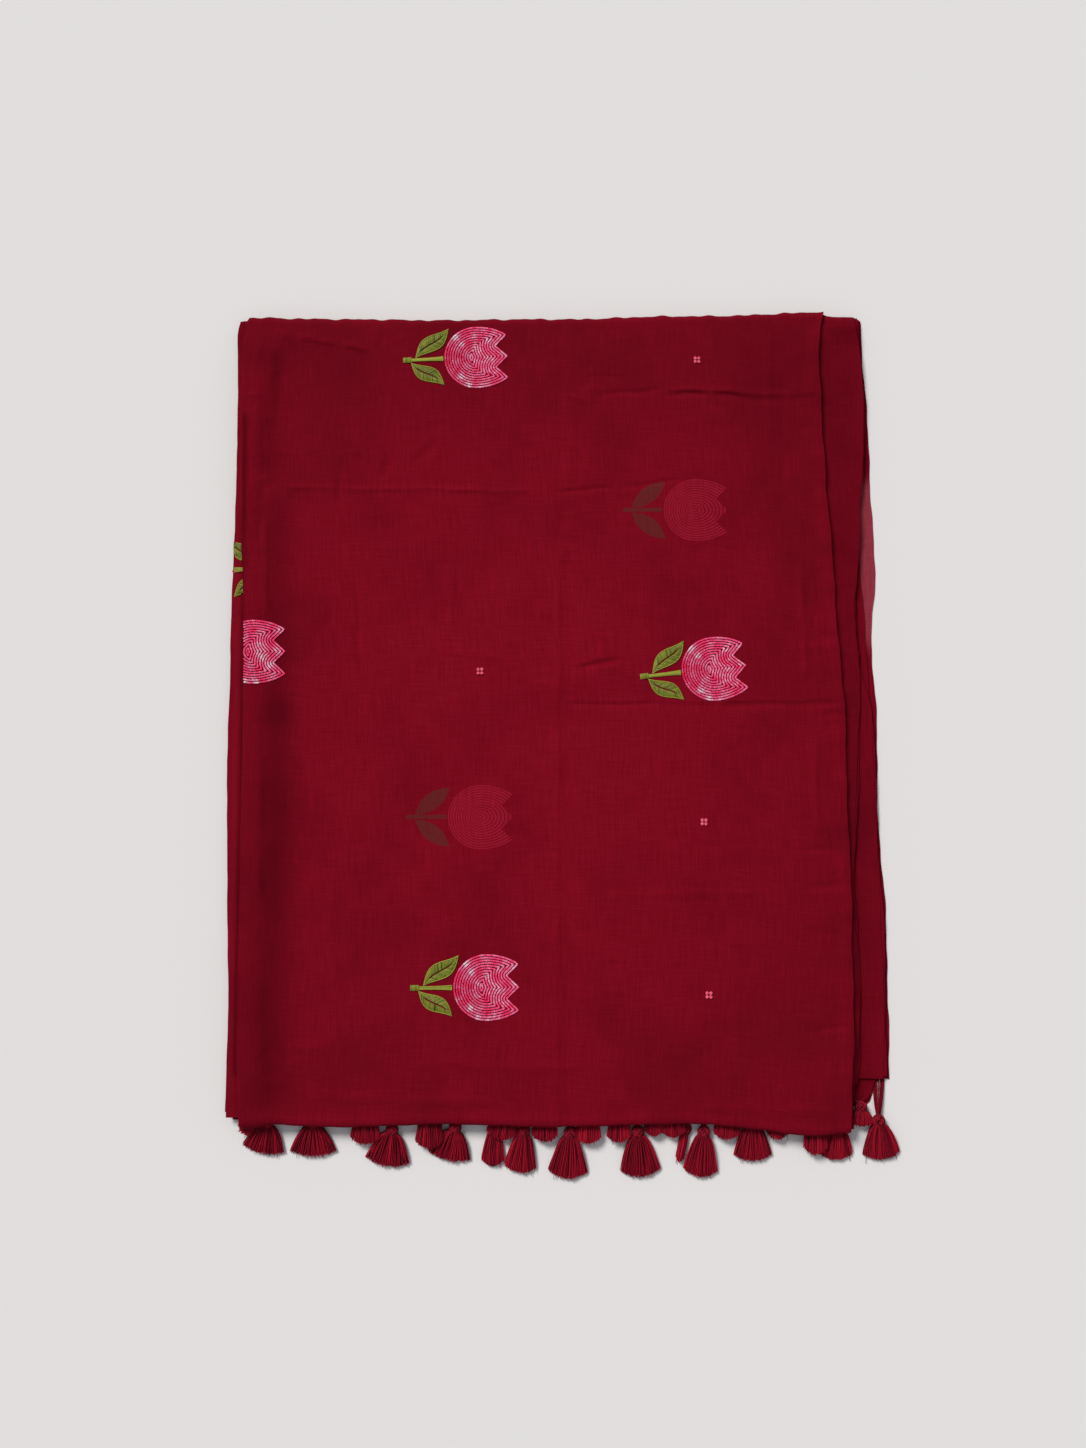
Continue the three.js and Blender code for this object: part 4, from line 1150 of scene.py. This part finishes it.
def inside_of(outline, points):
    """True for points within the outline, by counting the edges to the right of each."""
    a, b = outline, np.roll(outline, -1, 0)
    x, y = points[:, :1], points[:, 1:]
    crosses = (a[:, 1] > y) != (b[:, 1] > y)
    slope = (b[:, 0] - a[:, 0]) / np.where(b[:, 1] == a[:, 1], 1e-9, b[:, 1] - a[:, 1])
    return (crosses & (x < a[:, 0] + slope * (y - a[:, 1]))).sum(1) % 2 == 1


CUP_POINTS = cup_rows()
print(len(CUP_POINTS), "sequins in a cup")

# %% [markdown]
# A cupped sequin is a punched disc of glossy plastic film with a small hole. Here it is a closed
# ring with a sloping top, cheap enough to repeat some four thousand times. The film is pink, and
# painted highlights make some sequins almost white, in drifts that run over the flower.

# %% Sequins
# pink film from deep to nearly white: the light end of the ramp is for painted highlights
FILM = (
    (0.0, "#C00836"), (1.0, "#FFE8F2"), (0.22, "#FA1450"), (0.42, "#FF4078"), (0.6, "#FF749E"),
    (0.8, "#FFB8D0"),
)
DOME = 0.16  # height of a sequin's sloping wall, as a share of its width


def sequin_tree():
    tree, given = new_tree(
        "sequins", ("Size", "NodeSocketFloat"), ("Hole", "NodeSocketFloat"),
        ("Material", "NodeSocketMaterial"))
    size = given.outputs["Size"]
    reach = add(tree, "ShaderNodeMath", {0: size, 1: 0.5}, operation="MULTIPLY").outputs[0]
    share = given.outputs["Hole"]
    hole = add(tree, "ShaderNodeMath", {0: reach, 1: share}, operation="MULTIPLY").outputs[0]
    wall = add(tree, "ShaderNodeMath", {0: reach, 1: hole}, operation="SUBTRACT").outputs[0]
    half_wall = add(tree, "ShaderNodeMath", {0: wall, 1: 0.5}, operation="MULTIPLY").outputs[0]
    middle = add(tree, "ShaderNodeMath", {0: hole, 1: half_wall}, operation="ADD").outputs[0]
    ring = add(tree, "GeometryNodeCurvePrimitiveCircle", {"Resolution": 6, "Radius": middle})
    profile = add(tree, "GeometryNodeCurvePrimitiveCircle", {"Resolution": 4, "Radius": half_wall})
    flat = add(tree, "GeometryNodeTransform", {"Geometry": profile.outputs[0], "Scale": (1.0, DOME, 1.0)})
    disc = add(tree, "GeometryNodeCurveToMesh", {
        "Curve": ring.outputs[0], "Profile Curve": flat.outputs[0]})
    turn = add(tree, "GeometryNodeInputNamedAttribute", {"Name": "turn"}, data_type="FLOAT_VECTOR")
    rotation = add(tree, "FunctionNodeEulerToRotation", {0: turn.outputs[0]})
    placed = add(tree, "GeometryNodeInstanceOnPoints", {
        "Points": given.outputs["Geometry"], "Instance": disc.outputs[0], "Rotation": rotation.outputs[0]})
    whole = add(tree, "GeometryNodeRealizeInstances", {0: placed.outputs[0]})
    film = add(tree, "GeometryNodeSetMaterial", {
        0: whole.outputs[0], "Material": given.outputs["Material"]})
    add(tree, "NodeGroupOutput", {0: film.outputs[0]})
    return tree


def sequin_film():
    """Glossy pink film, from deep pink in painted shade to nearly white in painted highlights."""
    material, tree, shader = new_material("sequin_film_pink", Roughness=0.3, Specular_IOR_Level=0.35)
    shade = add(tree, "ShaderNodeAttribute", attribute_name="shade").outputs["Fac"]
    tone = add(tree, "ShaderNodeValToRGB", {"Fac": shade})
    set_ramp(tone, FILM)
    tree.links.new(tone.outputs["Color"], shader.inputs["Base Color"])
    return material


# x y turn: middle of the cup, and its turn in degrees. The last lies over the left fold and is cut
# off by it.
TULIPS = [(-65.8, 350.6, 2.9), (164.3, 42.6, 6.6), (-53.5, -259.5, 0.7), (-278.6, 58.6, 1.5)]
# the stretch beneath is turned over, so its flower is a mirror image: only the rim of the cup and the
# near ends of its leaves show, past the left fold
LEFT_FLOWER = (-332.0, 139.9, 0.0)
LEFT_STRIP = {"inner": -289.5, "outer": -301.3, "height": 12.25}
# x y reach strength: drifts of light over a cup, from its middle
GLINTS = [
    (-19, 22, 3.0, 0.6), (-13, 14, 2.5, 0.55), (4, 5, 6, 0.2), (9, -4, 5, 0.25), (26, 20, 4, 0.2),
    (12, 17, 4, 0.22), (-15, -19, 3.2, 0.6), (-8, -28, 3, 0.55), (17, -13, 5, 0.25), (3, -30, 3, 0.4),
    (26, 2, 4, 0.2), (-26, 0, 8, -0.1),
]


def surface_height(x, y):
    return STACK + top_relief(x, y)


def placed(points, tulip):
    """Turns flat points of a motif about its cup's middle and moves them to its place."""
    cx, cy, degrees = tulip
    c, s = math.cos(math.radians(degrees)), math.sin(math.radians(degrees))
    x, y = points[..., 0], points[..., 1]
    return np.stack([x * c - y * s + cx, x * s + y * c + cy], -1)


def sequins():
    rng = np.random.default_rng(7)
    places, turns, shades = [], [], []
    for tulip in [*TULIPS, LEFT_FLOWER]:
        beneath = tulip is LEFT_FLOWER
        x, y, way = CUP_POINTS.T
        # the shade paints light on the film: highlights from the glints table and a slow wave, with a little
        # random tone
        glow = sum(s * np.exp(-((x - gx) ** 2 + (y - gy) ** 2) / r**2) for gx, gy, r, s in GLINTS)
        jitter = rng.normal(0, 0.06, (2, len(x)))
        drift = np.sin(x / 2.9 + 1.7 * np.sin(y / 5.3)) * np.sin(y / 3.7 + np.sin(x / 6.1) + tulip[1])
        glints = 1.2 * glow * rng.uniform(0.4, 1.2, len(x))
        shade = 0.47 + glints + 0.14 * drift + rng.normal(0, 0.07, len(x))
        tilt = math.radians(SEQUIN["tilt"]) + rng.normal(0, 0.04, len(x))
        way = way + math.radians(tulip[2]) + rng.normal(0, 0.06, len(x))
        turn = np.stack([rng.normal(0, 0.04, len(x)), -tilt, way], 1)
        px, py = placed((np.stack([x, y], 1) + jitter.T) * (-1 if beneath else 1, 1), tulip).T
        kept = px > (LEFT_STRIP["outer"] - 0.6 if beneath else read(TOP_LEFT_FOLD, py) + 0.8)
        level = drape(px, py, LEFT_STRIP["height"]) if beneath else surface_height(px, py)
        pz = level + SEQUIN["rise"] + rng.uniform(0, 0.03, len(x))
        places.append(np.stack([px, py, pz], 1)[kept])
        turns.append(turn[kept])
        shades.append(shade[kept])
    mesh = bpy.data.meshes.new("sequin_places")
    mesh.from_pydata((np.concatenate(places) * MM).tolist(), [], [])
    turn_data = np.concatenate(turns).astype(np.float32)
    mesh.attributes.new("turn", "FLOAT_VECTOR", "POINT").data.foreach_set("vector", turn_data.ravel())
    set_values(mesh, "shade", np.concatenate(shades))
    size, hole = SEQUIN["size"] * MM, SEQUIN["hole"]
    return run_tree(sequin_tree(), mesh, size=size, hole=hole, material=sequin_film())


sequin_piece = solid_piece("sequins", sequins())

# %% [markdown]
# ## Leaves, stems and dots
#
# Leaves and stems are satin stitch: close threads side by side, from the middle vein out to the edge,
# inside a lighter outline of couched thread. The cloth shows as a dark slit along the vein. The
# small dots between the flowers are four satin rounds each, two by two. Each leaf is a curved
# midline with a width that swells and ends in a point, and the stitches are laid across it.

# %% Leaf and stem stitches
# base x y, tip x y, width, sway: about the middle of the cup, and how far its midline sways outwards
# near the base and back again near the tip
LEAVES = [(-58.9, 2.6, -25.8, 30, 15.6, 1.6), (-63.6, -2.6, -32.5, -26, 15.0, -1.6)]
STEM = {"start": -71.0, "thick": -63.0, "end": -32.0, "widths": (5.9, 3.3, 5.0), "neck": -57.0}
SATIN = {"pitch": 0.62, "width": 0.85, "slit": 1.1, "rise": 0.75}


def leaf_frame(leaf, t):
    """Midline points and the unit vector across the leaf at shares t of its length."""
    bx, by, tx, ty, _, sway = leaf
    dx, dy = tx - bx, ty - by
    side = np.array([-dy, dx]) / math.hypot(dx, dy)
    straight = np.stack([bx + dx * t, by + dy * t], -1)
    return straight + side * (sway * np.sin(2 * np.pi * t))[:, None], side


def leaf_half_width(leaf, t):
    return leaf[4] / 2 * np.clip(np.sin(np.pi * t), 0, 1) ** 1.15


def leaf_chains(leaf, rng):
    """Flat stitches of a leaf about its cup: (points, rise, width, shade)."""
    length = math.hypot(leaf[2] - leaf[0], leaf[3] - leaf[1])
    chains = []
    for t in np.arange(0.04, 0.95, SATIN["pitch"] / length):
        for way in (-1, 1):
            at = np.array([t, min(1, t + 0.09)])
            middle, side = leaf_frame(leaf, at)
            half = leaf_half_width(leaf, at)
            slit = SATIN["slit"] / 2 * smooth(0.12, 0.25, t) * smooth(0.88, 0.7, t)
            inner = middle[0] + side * way * (slit + 0.2)
            outer = middle[1] + side * way * max(half[1] - 0.7, 0.2)
            s = np.linspace(0, 1, 4)
            rise = 0.25 + SATIN["rise"] * np.sin(np.pi * (0.12 + 0.8 * s))
            shade = 0.36 + rng.uniform(-0.16, 0.16) - 0.5 * (rng.uniform() < 0.06)
            chains.append((inner + (outer - inner) * s[:, None], rise, SATIN["width"], shade))
    for way in (-1, 1):
        t = np.linspace(0, 1, 30)
        middle, side = leaf_frame(leaf, t)
        edge = middle + side * (way * leaf_half_width(leaf, t))[:, None]
        chains.append((edge, 0.6 + 0 * t, 1.0, 0.62))
    return chains


def stem_chains(rng):
    thick, neck, end = (width / 2 - 0.45 for width in STEM["widths"])
    chains = []
    for i in range(7):
        side = (i - 3) / 3
        x = np.array([STEM["thick"] - 1, STEM["neck"], -46, -38, STEM["end"]])
        half = np.array([neck, neck, neck + 0.1, (neck + end) / 2, end])
        rise = 0.45 + 0.5 * math.sqrt(1 - 0.8 * side * side) + 0 * x
        chains.append((np.stack([x, side * half + 0.3], 1), rise, 0.95, 0.5 + rng.uniform(-0.2, 0.3)))
    for x in np.arange(STEM["start"], STEM["thick"], SATIN["pitch"]):
        s = np.linspace(-1, 1, 5)
        flat = np.stack([0 * s + x, s * thick + 0.6], 1)
        rise = 0.35 + 1.0 * np.cos(s * 1.3)
        chains.append((flat, rise, SATIN["width"], 0.42 + rng.uniform(-0.2, 0.2)))
    return chains


def flower_green(rng):
    chains = stem_chains(rng)
    for leaf in LEAVES:
        chains += leaf_chains(leaf, rng)
    return chains


def on_top(chains, tulip):
    """Lays flat stitches on the top stretch."""
    laid = []
    for flat, rise, width, shade in chains:
        x, y = placed(flat, tulip).T
        laid.append((np.stack([x, y, surface_height(x, y) + rise], 1), width, shade))
    return laid


def on_left_strip(chains):
    """Lays the stitches of the mirrored flower on the strip that shows left of the top stretch."""
    laid = []
    for flat, rise, width, shade in chains:
        s = np.linspace(0, 1, 12)
        known = np.linspace(0, 1, len(flat))
        x, y = (np.interp(s, known, column) for column in placed(flat * (-1, 1), LEFT_FLOWER).T)
        shows = (x < LEFT_STRIP["inner"]) & (x > LEFT_STRIP["outer"])
        if shows.sum() > 1:
            z = drape(x, y, LEFT_STRIP["height"]) + np.interp(s, known, rise)
            laid.append((np.stack([x, y, z], 1)[shows], width, shade))
    return laid


DOTS = [(151.2, 348.1, 0), (-60.5, 40.3, 0), (153.2, -104.1, 0), (156.1, -266.4, 0)]
DOT = {"size": 2.8, "spread": 1.75}


def dot_chains(rng):
    """Four satin rounds, two by two."""
    chains = []
    for sx, sy in ((1, 1), (-1, 1), (-1, -1), (1, -1)):
        for i in np.arange(-DOT["size"] / 2 + 0.3, DOT["size"] / 2, SATIN["pitch"]):
            s = np.linspace(-1, 1, 4)
            half = math.sqrt(max(0.05, (DOT["size"] / 2) ** 2 - i * i))
            flat = np.stack([sx * DOT["spread"] + s * half, sy * DOT["spread"] + 0 * s + i], 1)
            chains.append((flat, 0.35 + 0.7 * np.cos(s * 1.2), 0.8, 0.6 + rng.uniform(-0.3, 0.3)))
    return chains


def embroidery():
    rng = np.random.default_rng(17)
    green = on_left_strip(flower_green(rng))
    for tulip in TULIPS[:3]:
        green += on_top(flower_green(rng), tulip)
    pink = [chain for centre in DOTS for chain in on_top(dot_chains(rng), centre)]
    pieces = []
    for name, chains, silk in (("leaves", green, LEAF_SILK), ("dots", pink, DOT_SILK)):
        mesh = run_tree(THREADS, chains_mesh(chains), thickness=MM, sides=4, material=silk)
        pieces.append(solid_piece(name, mesh))
    return pieces


leaves, dots = embroidery()
